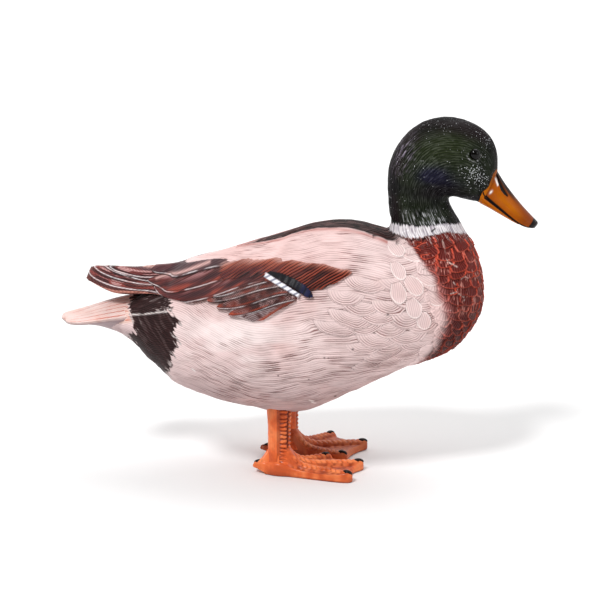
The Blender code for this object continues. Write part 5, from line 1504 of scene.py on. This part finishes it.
def tail_fields():
    rows, top, under = int(210 * DETAIL), int(190 * DETAIL), int(70 * DETAIL)
    last = len(TAIL) - 1
    s = np.linspace(0, last, rows)
    table = spline([row[1:] for row in TAIL], s)
    x, edge, dome, half, keel = (table[:, k : k + 1] for k in range(5))
    t_top = np.linspace(-1, 1, top)[None]
    t_low = np.linspace(1, -1, under + 2)[None, 1:-1]
    # the end of the fan is rounded, each feather with its own small arc
    upper = np.stack([x + 0 * t_top, half * t_top, edge + dome * (1 - np.abs(t_top) ** 1.7)], -1)
    rim = np.minimum(TAIL_EDGE, (edge - keel) * 0.9)
    drop = rim + (edge - keel - rim) * (1 - np.abs(t_low) ** 1.3) ** 1.15
    lower = np.stack([x + 0 * t_low, half * t_low * 0.985, edge - drop], -1)
    points = np.concatenate([upper, lower], 1)
    normals = outward(points, grid_normals(points, True))
    coat = Coat(points, normals)
    everywhere = np.ix_(np.arange(rows), np.arange(points.shape[1]))
    rng = np.random.default_rng(ROUGH_SEED + 9)
    share = points[..., 1] / np.maximum(half, 1)
    is_top = np.zeros(points.shape[:2], bool)
    is_top[:, :top] = True
    run = -(points[..., 0] + 112)
    middle = (TAIL_FEATHERS - 1) / 2
    order = sorted(range(TAIL_FEATHERS), key=lambda k: -abs(k - middle))
    for face, allowed in (("top", is_top), ("under", ~is_top)):
        for number, k in enumerate(order):
            centre = (k - middle) / middle * 0.86
            fan = (share - centre) * half
            width = 13.5
            reach = 84.5 - 7 * abs(centre) ** 2
            turn = -0.35 * (1 if centre > 0 else -1) if abs(centre) > 0.05 else 0
            coat.lay(everywhere, run, fan, reach, width, "tail", number * 0.8, rng.random(), allowed, 0.0, turn, face)
    height, ridge, line = coat.relief()
    height = np.where(coat.number < 0, -0.3, height) - 0.35
    height = height * smooth(0, 8, run)
    points = points + normals * (height * smooth(86, 80, run))[..., None]
    grain = fractal(points, 8, 91)
    paint = mix(rgb(228, 196, 190) + 0 * points, rgb(238, 218, 212), grain)
    barb = 0.5 + 0.5 * np.cos(2 * np.pi * coat.phase())
    paint = mix(paint, rgb(222, 158, 136), 0.55 * barb * smooth(0.3, 0.7, fractal(points, 12, 92)))
    a = np.clip(coat.along / coat.length, 0, 1)
    border = smooth(0.80, 0.96, np.abs(coat.beside) / np.maximum(coat.half, 0.5)) * smooth(0.98, 0.84, a) * (coat.number >= 0)
    shaft = smooth(0.75, 0.35, np.abs(coat.beside)) * smooth(0.98, 0.84, a) * (coat.number >= 0) * (0.5 + 0.5 * smooth(0.35, 0.6, noise(points, 9, 93)))
    paint = mix(paint, rgb(196, 84, 60), np.clip(1.2 * border + 0.85 * shaft, 0, 1) * is_top * smooth(-133, -141, points[..., 0]))
    # painted shade: the underside of the tail is painted a darker grey
    grey = mix(rgb(140, 118, 122) + 0 * points, rgb(170, 146, 148), grain)
    grey = mix(grey, rgb(120, 96, 102), 0.6 * border)
    paint = mix(paint, grey, ~is_top * 1.0)
    fold = np.where(is_top, 0.3, 2.8)
    paint = mix(paint, mix(BLACK + 0 * points, rgb(58, 46, 46), grain), body_regions(points, fold)["rump"])
    mask = np.zeros(points.shape[:2] + (4,))
    mask[..., 0], mask[..., 1], mask[..., 2], mask[..., 3] = ridge * 0.5, border * 0.15, 0.6, 0.2
    lines = np.stack([coat.phase(), coat.along, coat.seed * 30], -1)
    centre = points[-1].mean(0)
    ends = np.stack([centre + (points[-1] - centre) * k + np.array([-m, 0, 0]) for k, m in ((0.8, 0.45), (0.4, 0.75), (0.02, 0.8))])
    points = np.concatenate([points, ends])
    paint, mask, lines = (np.concatenate([f, np.repeat(f[-1:], 3, 0)]) for f in (np.clip(paint, 0, 1), mask, lines))
    return points, paint, mask, lines


# ---------------------------------------------------------------- bill
def bill_grid(part, rows, across):
    """One mandible as rings of points: across points over its outer face, then a flat inner face."""
    last = len(BILL) - 1
    end = last if part == "upper" else last * LOWER_BILL_END
    s = np.linspace(0, end, rows)
    v = bill_values(s)
    d, b = v[:, None, 0:2], v[:, None, 2:4]
    length = np.linalg.norm(d - b, axis=-1)
    axis = (d - b) / length[..., None]
    mouth = d - axis * (length * v[:, None, 5])[..., None]
    t = np.linspace(0, math.pi, across)[None]
    inside = np.linspace(-1, 1, 26)[None, 1:-1]
    half = v[:, None, 4]
    if part == "upper":
        rise = length * v[:, None, 5]
        side = np.concatenate([np.cos(t) * half, inside * half], 1)
        height = np.concatenate([np.abs(np.sin(t)) ** 0.9 * rise, 0 * inside + 0 * rise], 1)
    else:
        drop = np.maximum(length * (1 - v[:, None, 5]) - 0.3, 0.8)
        side = np.concatenate([np.cos(t) * half * 0.9, inside * half * 0.9], 1)
        height = np.concatenate([-0.3 - np.abs(np.sin(t)) ** 0.8 * drop, -0.3 + 0 * inside + 0 * drop], 1)
    flat = mouth + axis * height[..., None]
    points = np.stack([flat[..., 0], side, flat[..., 1]], -1)
    return s, np.concatenate([t, 0 * inside - 1], 1), points, axis




def bill_colour(points, s, t, part):
    x, y, z = points[..., 0], points[..., 1], points[..., 2]
    share = np.broadcast_to((s / (len(BILL) - 1))[:, None], x.shape)
    high = np.where(t >= 0, np.abs(np.sin(np.clip(t, 0, None))), 0)
    grain = fractal(points, (9, 9, 9), 101)
    streak = noise(points, (3, 12, 12), 102)
    amber = mix(rgb(172, 86, 6) + 0 * points, rgb(136, 60, 4), grain)
    paint = mix(amber, rgb(106, 50, 12), smooth(0.66, 0.98, high) * (0.65 + 0.4 * streak) * smooth(1.0, 0.9, share))
    if part == "upper":
        paint = mix(paint, rgb(30, 14, 8), smooth(0.74, 0.93, high) * smooth(0.55, 0.25, share))
    paint = mix(paint, rgb(116, 50, 14), smooth(0.40, 0.80, share) * (0.45 + 0.5 * high) * smooth(0.1, 0.5, high + 0.25))
    # painted highlight along the side of the bill
    paint = mix(paint, rgb(226, 146, 24), 0.16 * np.exp(-(((high - 0.42) / 0.18) ** 2)) * smooth(0.10, 0.3, share) * smooth(0.75, 0.5, share))
    return paint, grain, high, share


def make_bill(material, nail_material):
    s, t, points, axis = bill_grid("upper", int(190 * DETAIL), int(150 * DETAIL))
    paint, grain, high, share = bill_colour(points, s, t, "upper")
    normals = outward(points, grid_normals(points, True))
    outer = t >= 0
    deg = np.degrees(np.where(points[..., 1] < 0, math.pi - t, t)) * np.ones(share.shape)  # 0 at the mouth, 90 on the culmen
    run = share * (len(BILL) - 1)
    # nostril groove, high on each side of the culmen
    line = np.interp(run, NOSTRIL_RUN, NOSTRIL_ANGLE)
    width = np.interp(run, NOSTRIL_RUN, NOSTRIL_WIDTH, left=0, right=0)
    span = smooth(NOSTRIL_RUN[0] - 0.05, NOSTRIL_RUN[0] + 0.12, run) * smooth(NOSTRIL_RUN[-1] + 0.1, NOSTRIL_RUN[-1] - 0.12, run)
    groove = smooth(1.0, 0.55, np.abs(deg - line) / np.maximum(width, 0.1)) * span * outer
    wide = smooth(1.9, 1.0, np.abs(deg - line) / np.maximum(width, 0.1)) * span * outer
    rim = smooth(7.5, 2.0, deg) * outer * smooth(0.02, 0.08, share)
    height = -0.9 * groove + 0.25 * (wide - groove) + 0.25 * rim - 0.35 * smooth(22, 10, deg) * outer * (1 - rim)
    height = height + 0.12 * (fractal(points, 5, 103) - 0.5) * outer
    points = points + normals * height[..., None]
    paint = mix(paint, rgb(18, 12, 10), np.clip(groove * 1.1, 0, 1))
    # painted highlights: a white streak beside the nostril and a spot near the bill's root
    nostril_highlight = np.exp(-(((deg - np.interp(run, WHITE_RUN, WHITE_ANGLE)) / 3.4) ** 2)) * smooth(WHITE_RUN[0] - 0.05, WHITE_RUN[0] + 0.08, run)
    nostril_highlight = nostril_highlight * smooth(WHITE_RUN[1] + 0.08, WHITE_RUN[1] - 0.05, run)
    root_highlight = np.exp(-(((deg - ROOT_HIGHLIGHT[1]) / 4.5) ** 2 + ((run - ROOT_HIGHLIGHT[0] - 0.008 * (deg - ROOT_HIGHLIGHT[1])) / 0.09) ** 2))
    right = points[..., 1] < 0
    paint = mix(paint, rgb(244, 240, 236), np.clip(1.3 * nostril_highlight + 1.2 * root_highlight, 0, 1) * right * outer)
    paint = mix(paint, rgb(11, 7, 7), smooth(4.6, 2.6, deg) * outer)
    black_tip = smooth(0.862, 0.885, share + 0.05 * (high - 0.5)) * outer
    paint = mix(paint, rgb(10, 6, 6), black_tip)
    mask = np.zeros(share.shape + (4,))
    mask[..., 2] = 0.10
    mask[..., 1] = 0.03
    lines = np.stack([deg / 4, run * 9, 0 * run], -1)
    cut = int(np.searchsorted(s, (len(BILL) - 1) * NAIL_CUT))
    tip = points[-1].mean(0) + np.array([1.3, 0, -1.1])
    ends = np.stack([tip + (points[-1] - points[-1].mean(0)) * k - np.array([m, 0, -m]) for k, m in ((0.72, 0.35), (0.42, 0.05), (0.02, 0.0))])
    base = points[0]
    middle = base.mean(0)
    root = np.stack([middle + (base - middle) * 1.05 + np.array([-1.5, 0, 1.7])])
    points = np.concatenate([root, points, ends])
    grow = lambda f: np.concatenate([f[:1], f, np.repeat(f[-1:], 3, 0)])
    paint, mask, lines = grow(np.clip(paint, 0, 1)), grow(mask), grow(lines)
    cut += 1
    upper = slice(0, cut + 1)
    whole_tube("bill_upper_skin", points[upper], paint[upper], mask[upper], lines[upper], material, ("bill_upper",))
    nail = slice(cut, None)
    black = mix(rgb(10, 7, 7) + 0 * points, rgb(30, 18, 12), 0.4 * noise(points, 4, 106))
    whole_tube("bill_nail_skin", points[nail], black[nail], mask[nail], lines[nail], nail_material, ("bill_nail",))
    s, t, points, axis = bill_grid("lower", int(130 * DETAIL), int(110 * DETAIL))
    paint, grain, high, share = bill_colour(points, s, t, "lower")
    paint = mix(paint, rgb(204, 108, 14), 0.7 * np.ones(share.shape))
    top = -0.5 + 0 * share
    edge = smooth(0.16, 0.07, high) * (t >= 0)
    paint = mix(paint, rgb(16, 11, 10), np.clip(edge + (t < 0), 0, 1))
    root = points[:1] + np.array([-2.4, 0, 2.4])
    centre = points[-1].mean(0)
    ends = np.stack([centre + (points[-1] - centre) * k + np.array([m, 0, -m]) for k, m in ((0.8, 0.5), (0.4, 0.9), (0.02, 1.0))])
    points = np.concatenate([root, points, ends])
    mask = np.zeros(share.shape + (4,))
    mask[..., 2] = 0.06
    lines = np.stack([np.degrees(np.clip(t, 0, None)) / 4 + 0 * share, share * 50, 0 * share], -1)
    whole_tube("bill_lower_skin", points, grow(np.clip(paint, 0, 1)), grow(mask), grow(lines), material, ("bill_lower",))




# ---------------------------------------------------------------- legs and feet
ORANGE = rgb(230, 106, 52)
ORANGE_DARK = rgb(126, 42, 22)
ORANGE_LIGHT = rgb(244, 148, 92)
LEG_TURN = math.radians(38)  # how far the scutes face outward
SCUTE = 3.5  # height of one scute on the front of the leg


def leg_fields(side):
    sign = -1 if side == "right" else 1
    ax, ay = LEG[side]
    rows, cols = int(170 * DETAIL), int(120 * DETAIL)
    z = np.linspace(6.0, 68.0, rows)[:, None]
    a = (np.arange(cols) * 2 * math.pi / cols)[None]
    turn = (a - LEG_TURN + math.pi) % (2 * math.pi) - math.pi
    ankle = smooth(24, 5, z) ** 1.6
    flare = 1 + ankle * (0.55 + 0.40 * np.cos(a)) + 0.10 * np.clip((z - 40) / 12, 0, 1)
    ridge = LEG_RIDGE * np.exp(-((turn / 0.5) ** 2)) * (1 - 0.5 * ankle)
    x = ax + (LEG_HALF[0] + ridge) * flare * np.cos(a)
    y = ay + sign * (LEG_HALF[1] + 0.6 * ridge) * flare * np.sin(a)
    points = np.stack([x + 0 * z, y + 0 * z, z + 0 * a], -1)
    normals = outward(points, grid_normals(points, True))
    # two columns of scutes down the front, meeting in a shallow groove, and a smooth side behind them
    column = turn / 0.62
    front = smooth(1.35, 1.15, np.abs(column)) * (z > 0)
    uneven = noise(np.stack([turn * 3 + 0 * z, z / 5 + 0 * a, 0 * z + 0 * a], -1), 1.0, 113) - 0.5
    beat = (z / SCUTE + np.where(column > 0, 0.5, 0.0) + 0.7 * uneven + 0.10 * np.sin(z / 3)) % 1.0
    scute = np.clip(np.sin(np.pi * beat), 0, 1) ** 0.8 * np.clip(np.sin(np.pi * np.clip(np.abs(column) / 1.25, 0.02, 1)), 0, 1) ** 0.5
    score = np.exp(-(((np.abs(column) - 1.45) / 0.12) ** 2)) * (z > 0)
    beads = noise(np.stack([turn * 7 + 0 * z, z / 1.9 + 0 * a, 0 * z + 0 * a], -1), 1.0, 111)
    back = smooth(1.5, 2.2, np.abs(column)) * (z > 0)
    cleft = np.exp(-((column / 0.13) ** 2)) * (z > 0)
    height = front * (1.55 * scute - 0.55) * (1 - 0.5 * ankle) - 0.45 * score - 0.8 * cleft + back * 0.10 * (smooth(0.35, 0.7, beads) - 0.5)
    height = height - 0.25
    points = points + normals * height[..., None]
    return points, front, scute, np.maximum(0.8 * score, cleft), beads, back, z, turn


def make_leg(side, material):
    points, front, scute, score, beads, back, z, turn = leg_fields(side)
    tone = fractal(points, 9, 112)
    paint = mix(ORANGE + 0 * points, ORANGE_LIGHT, smooth(0.45, 0.75, tone) * 0.5)
    paint = mix(paint, rgb(172, 70, 34), smooth(0.54, 0.34, tone) * 0.50)
    # painted shade: darker in the valleys between the scutes
    paint = mix(paint, ORANGE_DARK, smooth(0.80, 0.30, scute) * front * 0.9)
    paint = mix(paint, rgb(112, 40, 22), np.clip(score, 0, 1) * 0.9)
    paint = mix(paint, ORANGE_DARK, back * smooth(0.6, 0.2, beads) * 0.15)
    paint = mix(paint, rgb(150, 62, 34), smooth(52, 66, z + 4 * tone) * 0.6)
    mask = np.zeros(points.shape[:2] + (4,))
    mask[..., 0] = scute * front
    mask[..., 2], mask[..., 3] = 0.25, 0.18
    lines = np.stack([np.degrees(turn) / 12 + 0 * z, z + 0 * turn, 0 * z + 0 * turn], -1)
    whole_tube("leg_skin_" + side, points, np.clip(paint, 0, 1), mask, lines, material, ("leg_" + side,))


def outer_side(side, heading, reach):
    """The foot's outer side runs nearly straight from the hind toe to the outer toe."""
    toes = {name: (math.radians(angle), length) for name, angle, length in TOES[side]}
    (a0, l0), (a1, l1) = toes["outer"], toes["hind"]
    l0, l1 = l0 - 1.2 * TOE_HALF, l1 - 1.2 * TOE_HALF
    p = np.array([l0 * math.cos(a0) - TOE_HALF * math.sin(a0), l0 * math.sin(a0) + TOE_HALF * math.cos(a0)])
    q = np.array([l1 * math.cos(a1) + TOE_HALF * math.sin(a1), l1 * math.sin(a1) - TOE_HALF * math.cos(a1)])
    h = np.radians(heading)
    d = q - p
    chord = (p[0] * d[1] - p[1] * d[0]) / (np.cos(h) * d[1] - np.sin(h) * d[0])
    inside = (heading > math.degrees(a0) + 4) & (heading < math.degrees(a1) - 6)
    chord = chord + 1.5 * np.sin(np.pi * np.clip((heading - math.degrees(a0)) / math.degrees(a1 - a0), 0, 1))
    return np.where(inside & (chord > 0) & (chord < 90), np.maximum(chord, chord + 0.25 * (reach - chord)), reach)


def make_foot(side, material):
    sign = -1 if side == "right" else 1
    ax, ay = LEG[side]
    count = int(520 * DETAIL)
    heading = np.linspace(-90, 270, count, endpoint=False)
    reach = outer_side(side, heading, foot_reach(side, heading))
    soft = np.exp(-((np.arange(-9, 10) / 4.0) ** 2))
    reach = np.convolve(np.r_[reach[-9:], reach, reach[:9]], soft / soft.sum(), "valid")
    hind = np.abs(apart(heading, TOES[side][3][1])) < 32
    a = np.radians(heading)
    shares = np.linspace(0.10, 1.0, int(58 * DETAIL))
    edge = 3.2
    rings, tops = [], []
    dist = (reach - edge)[None] * shares[:, None]
    head2 = np.broadcast_to(heading[None], dist.shape)
    height = foot_top(side, head2, dist) + 6.0 * np.exp(-((dist / 11.0) ** 2))
    # beaded scutes along each toe, fine cross folds in the web
    bead = np.zeros(dist.shape)
    on_toe = np.zeros(dist.shape)
    for name, angle, length in TOES[side]:
        off = np.radians(apart(head2, angle))
        along, beside = dist * np.cos(off), dist * np.sin(off)
        share = np.clip(np.abs(beside) / (TOE_HALF * 0.8), 0, 1)
        here = smooth(1.0, 0.8, share) * smooth(12, 16, along)
        seg = (along / 4.3 + 0.2 * np.cos(beside)) % 1.0
        roll = np.clip(np.sin(np.pi * seg), 0, 1) ** 0.5 * (1 - share**2) ** 0.5
        take = here > on_toe
        bead = np.where(take, roll, bead)
        on_toe = np.maximum(on_toe, here)
    x = ax + dist * np.cos(a)
    y = ay + sign * dist * np.sin(a)
    flat = np.stack([x, y, 0 * x], -1)
    web = 1 - on_toe
    folds = noise(np.stack([head2 / 4.2, dist / 2.2, 0 * dist], -1), 1.0, 121)
    cross = noise(flat, 2.2, 122)
    height = height + on_toe * (1.35 * bead - 0.65) + web * smooth(11, 18, dist) * (0.35 * (folds - 0.5) + 0.45 * (cross - 0.5) - 0.35 * smooth(14, 24, dist))
    # the outer side falls away from the leg to the sole
    a0, a1 = TOES[side][2][1], TOES[side][3][1]
    outward = smooth(a0 + 6, a0 + 30, head2) * smooth(a1 - 8, a1 - 34, head2)
    height = height - outward * 0.55 * np.clip(height - 6.0, 0, None) * shares[:, None] ** 3
    top = np.stack([x, y, height], -1)
    low = np.where(hind, 4.6 * np.clip((reach - 12) / 8, 0, 1), 0)
    last = height[-1]

    def ring(d, z):
        return np.stack([ax + d * np.cos(a), ay + sign * d * np.sin(a), z], -1)

    side_rings = []
    for f in np.linspace(0, 1, 7)[1:]:
        swing = f * math.pi / 2
        side_rings.append(ring(reach - edge + (edge - 0.2) * math.sin(swing), last - (last - np.maximum(last - 3.4, low + 1.6)) * (1 - math.cos(swing))))
    waist = np.maximum(last - 3.4, low + 1.6)
    side_rings.append(ring(reach - 0.1, waist * 0.6 + (low + 1.0) * 0.4))
    side_rings.append(ring(reach - 0.2, low + 1.0))
    side_rings.append(ring(reach - 0.5, low + 0.4))
    side_rings.append(ring(reach - 1.2, low))
    side_rings.append(ring(np.where(hind, 9.0, reach - 4.0), 0 * low))
    side_rings.append(ring(0.3 * np.where(hind, 9.0, reach - 4.0), 0 * low))
    side_rings.append(ring(0.02 + 0 * reach, 0 * low))
    centre = np.stack([np.full(count, ax) + 0.02 * np.cos(a), ay + sign * 0.02 * np.sin(a), height[0].mean() + 1.0 + 0 * a], -1)
    points = np.concatenate([centre[None], top, np.stack(side_rings)])
    rows = len(points)
    pad = lambda f, fill: np.concatenate([np.full((1, count), f[0].mean()), f, np.full((len(side_rings), count), fill)])
    bead, web, on_toe = pad(bead, 0.5), pad(web, 0.3), pad(on_toe, 0.0)
    cross, folds = pad(cross, 0.5), pad(folds, 0.5)
    tone = fractal(points, 9, 123)
    paint = mix(ORANGE + 0 * points, ORANGE_LIGHT, smooth(0.35, 0.65, tone) * 0.55 + 0.30 * bead * on_toe)
    paint = mix(paint, rgb(168, 68, 34), smooth(0.52, 0.32, tone) * 0.50)
    paint = mix(paint, ORANGE_DARK, smooth(0.55, 0.15, bead) * on_toe * 0.75)
    far = np.hypot(points[..., 0] - ax, points[..., 1] - ay * 1.0)
    paint = mix(paint, rgb(140, 56, 28), web * (0.30 + 0.55 * smooth(0.6, 0.3, cross)) * (points[..., 2] > 3) * smooth(12, 20, far))
    paint = mix(paint, rgb(104, 40, 24), smooth(1.6, 0.4, points[..., 2]) * 0.8)
    # painted shade: the far foot is painted darker
    if side == "left":
        paint = mix(paint, rgb(120, 44, 22), 0.45 + 0 * tone)
    mask = np.zeros(points.shape[:2] + (4,))
    mask[..., 0] = bead * on_toe
    mask[..., 2], mask[..., 3] = 0.18, 0.16
    lines = np.stack([np.broadcast_to(heading[None] / 3, (rows, count)), 0 * bead, 0 * bead], -1)
    shade = grid_normals(points, True)
    if shade[1 : rows // 2, :, 2].sum() < 0:
        shade = -shade
    shade[0] = (0, 0, 1)
    shade[-1] = (0, 0, -1)
    take = np.r_[0:count, 0]
    n = np.arange(rows * (count + 1)).reshape(rows, count + 1)
    # unwrap: a disc, the top in one half of the map and the sole's rim round it
    wide = np.concatenate([[0], np.cumsum(np.linalg.norm(np.diff(points, axis=0), axis=-1).mean(1))])
    radius = (wide / wide[-1])[:, None] * 0.485
    turn = np.radians(np.r_[heading, heading[:1] + 360])[None]
    uv = np.stack([0.5 + radius * np.cos(turn), 0.5 + radius * np.sin(turn)], -1).reshape(-1, 2)
    surface_piece(
        "foot_skin_" + side, points[:, take], shade[:, take], quads(n), uv, np.clip(paint, 0, 1)[:, take], mask[:, take],
        lines[:, take], material, ("foot_" + side,),
    )


def ball(name, centre, radii, heading, material, replaces, colour, segments=64, rings=40):
    """A smooth ellipsoid; heading is in degrees about x, y, z."""
    turn = np.array(Euler([math.radians(h) for h in heading]).to_matrix())
    lat = np.linspace(0.02, math.pi - 0.02, rings)[:, None]
    lon = (np.arange(segments) * 2 * math.pi / segments)[None]
    unit = np.stack([np.cos(lat) + 0 * lon, np.sin(lat) * np.cos(lon), np.sin(lat) * np.sin(lon)], -1)
    points = (unit * np.array(radii)) @ turn.T + np.array(centre)
    paint = np.array(colour) + 0 * points
    mask = np.zeros(points.shape[:2] + (4,))
    lines = np.stack([lon * 3 + 0 * lat, lat * 3 + 0 * lon, 0 * lat + 0 * lon], -1)
    return whole_tube(name, points, paint, mask, lines, material, replaces)


def make_claws(side, material):
    sign = -1 if side == "right" else 1
    ax, ay = LEG[side]
    for name, angle, length in TOES[side]:
        a = math.radians(angle)
        reach = length - CLAW[0] - 0.6
        height = foot_top(side, np.array([angle * 1.0]), np.array([reach]))[0] - 0.7
        centre = (ax + reach * math.cos(a), ay + sign * reach * math.sin(a), height)
        ball("nail_%s_%s" % (side, name), centre, CLAW, (0, 8, sign * angle), material, ("claw_%s_%s" % (side, name),), rgb(26, 18, 18), 36, 20)




# ---------------------------------------------------------------- the whole statue
def glossy_black(name, rough, colour, coat=0.14):
    made = bpy.data.materials.new(name)
    made.use_nodes = True
    tree = made.node_tree
    shader = tree.nodes["Principled BSDF"]
    cloud = tree.nodes.new("ShaderNodeTexNoise")
    cloud.inputs["Scale"].default_value = 300.0
    place = tree.nodes.new("ShaderNodeTexCoord")
    tree.links.new(place.outputs["Object"], cloud.inputs["Vector"])
    ramp = tree.nodes.new("ShaderNodeValToRGB")
    ramp.color_ramp.elements[0].color = (*(np.array(colour) * 0.6), 1)
    ramp.color_ramp.elements[1].color = (*(np.array(colour) * 1.5), 1)
    tree.links.new(cloud.outputs[0], ramp.inputs[0])
    tree.links.new(ramp.outputs[0], shader.inputs["Base Color"])
    shader.inputs["Roughness"].default_value = rough
    shader.inputs["Specular IOR Level"].default_value = 0.04
    shader.inputs["Coat Weight"].default_value = coat
    shader.inputs["Coat Roughness"].default_value = 0.03
    return made


BODY_PAINT = painted("painted_body", rough=0.52, coat=0.02, coat_rough=0.3, bump=0.00030, streak=1.0, gain=1.20, lift=0.04, gloss=0.07)
HEAD_PAINT = painted("painted_head", rough=0.42, coat=0.02, coat_rough=0.25, bump=0.00020, streak=1.0, gain=2.2, lift=0.06, gloss=0.03, deep=(0.12, 0.12, 0.12), hits=(6.5, -3.0), dots=0.5)
WING_PAINT = painted("painted_wing", rough=0.45, coat=0.04, coat_rough=0.2, bump=0.00018, streak=0.80, gain=1.5, lift=0.03, gloss=0.10)
TAIL_PAINT = painted("painted_tail", rough=0.50, coat=0.1, coat_rough=0.3, bump=0.00010, streak=0.30, gain=1.15, lift=0.04)
BILL_PAINT = painted("painted_bill", rough=0.34, coat=0.08, coat_rough=0.08, bump=0.00003, streak=0.2, grain=0.00002, gain=1.2, lift=0.0, gloss=0.06)
LEG_PAINT = painted("painted_legs", rough=0.38, coat=0.14, coat_rough=0.15, bump=0.00005, streak=0.3, gain=1.3, lift=0.02, gloss=0.15)
NAIL_PAINT = glossy_black("painted_nails", 0.25, (0.016, 0.011, 0.010))
EYE_GLOSS = glossy_black("eye_gloss", 0.04, (0.0015, 0.001, 0.001), 0.32)

stations, body, body_shade, paint, mask, lines = make_body()
cuts = [int(round(k)) for k in np.linspace(0, len(stations) - 1, 5)]
made = split_tube(
    "body_skin", body, body_shade, paint, mask, lines, cuts, 2, BODY_PAINT,
    ("belly", "back", "rump", "breast", "neck_ring"),
)
make_head(stations, body, body_shade, paint, mask, lines, HEAD_PAINT)
make_wings(WING_PAINT)
points, paint, mask, lines = tail_fields()
whole_tube("tail_skin", points, paint, mask, lines, TAIL_PAINT, ("tail",))
make_bill(BILL_PAINT, NAIL_PAINT)
for side in ("left", "right"):
    sign = 1 if side == "left" else -1
    x, y, z = EYE_CENTRE
    ball("eye_bead_" + side, (x, y * sign, z), (EYE_RADIUS,) * 3, (0, 0, 0), EYE_GLOSS, ("eye_" + side,), rgb(16, 12, 12))
    make_leg(side, LEG_PAINT)
    make_foot(side, LEG_PAINT)
    make_claws(side, NAIL_PAINT)

# ---------------------------------------------------------------- camera, light and floor
scene = bpy.context.scene
camera = bpy.data.cameras.new("camera")
camera.lens = 91.46
camera.sensor_width = 36.0
camera.clip_end = 200
seat = bpy.data.objects.new("camera", camera)
scene.collection.objects.link(seat)
AIM = Vector((FORWARD * MM, 0.0, 0.1393))
azimuth, elevation, distance = math.radians(4.5), math.radians(12.0), 1.25
seat.location = AIM + distance * Vector(
    (math.sin(azimuth) * math.cos(elevation), -math.cos(azimuth) * math.cos(elevation), math.sin(elevation))
)
seat.rotation_euler = (AIM - seat.location).to_track_quat("-Z", "Y").to_euler()
scene.camera = seat


def sun(name, azimuth, elevation, strength, angle, colour=(1, 1, 1)):
    """A very large far lamp; azimuth 0 shines from the camera's side, 90 from the right of the picture."""
    light = bpy.data.lights.new(name, "SUN")
    light.energy = strength
    light.angle = math.radians(angle)
    light.color = colour
    thing = bpy.data.objects.new(name, light)
    a, e = math.radians(azimuth), math.radians(elevation)
    towards = Vector((math.sin(a) * math.cos(e), -math.cos(a) * math.cos(e), math.sin(e)))
    thing.rotation_euler = towards.to_track_quat("Z", "Y").to_euler()
    thing.location = AIM + towards * 3
    scene.collection.objects.link(thing)
    return thing


sun("key", -30, 50, 2.15, 14)
sun("fill", 62, 24, 0.45, 30)
sun("above", 160, 62, 0.9, 40)

world = bpy.data.worlds.new("studio")
world.use_nodes = True
tree = world.node_tree
sky = tree.nodes["Background"]
where = tree.nodes.new("ShaderNodeTexCoord")
axes = tree.nodes.new("ShaderNodeSeparateXYZ")
tree.links.new(where.outputs["Generated"], axes.inputs[0])
fade = tree.nodes.new("ShaderNodeMapRange")
fade.inputs["From Min"].default_value = -0.75
fade.inputs["From Max"].default_value = 0.25
fade.inputs["To Min"].default_value = 0.12
fade.inputs["To Max"].default_value = 1.0
tree.links.new(axes.outputs[1], fade.inputs["Value"])
tree.links.new(fade.outputs[0], sky.inputs["Strength"])
sky.inputs["Color"].default_value = (1.0, 1.0, 1.0, 1)
scene.world = world

floor_mesh = bpy.data.meshes.new("floor")
floor_mesh.from_pydata([(-60, -60, 0), (60, -60, 0), (60, 60, 0), (-60, 60, 0)], [], [(0, 1, 2, 3)])
floor = bpy.data.objects.new("floor", floor_mesh)
scene.collection.objects.link(floor)
paper = bpy.data.materials.new("paper")
paper.use_nodes = True
tree = paper.node_tree
shader = tree.nodes["Principled BSDF"]
cloud = tree.nodes.new("ShaderNodeTexNoise")
cloud.inputs["Scale"].default_value = 3.0
ramp = tree.nodes.new("ShaderNodeValToRGB")
ramp.color_ramp.elements[0].color = (0.80, 0.80, 0.80, 1)
ramp.color_ramp.elements[1].color = (0.84, 0.84, 0.84, 1)
tree.links.new(cloud.outputs[0], ramp.inputs[0])
tree.links.new(ramp.outputs[0], shader.inputs["Base Color"])
shader.inputs["Roughness"].default_value = 0.9
floor_mesh.materials.append(paper)

scene.view_settings.view_transform = "Standard"
scene.view_settings.look = "None"
scene.view_settings.exposure = 0.0

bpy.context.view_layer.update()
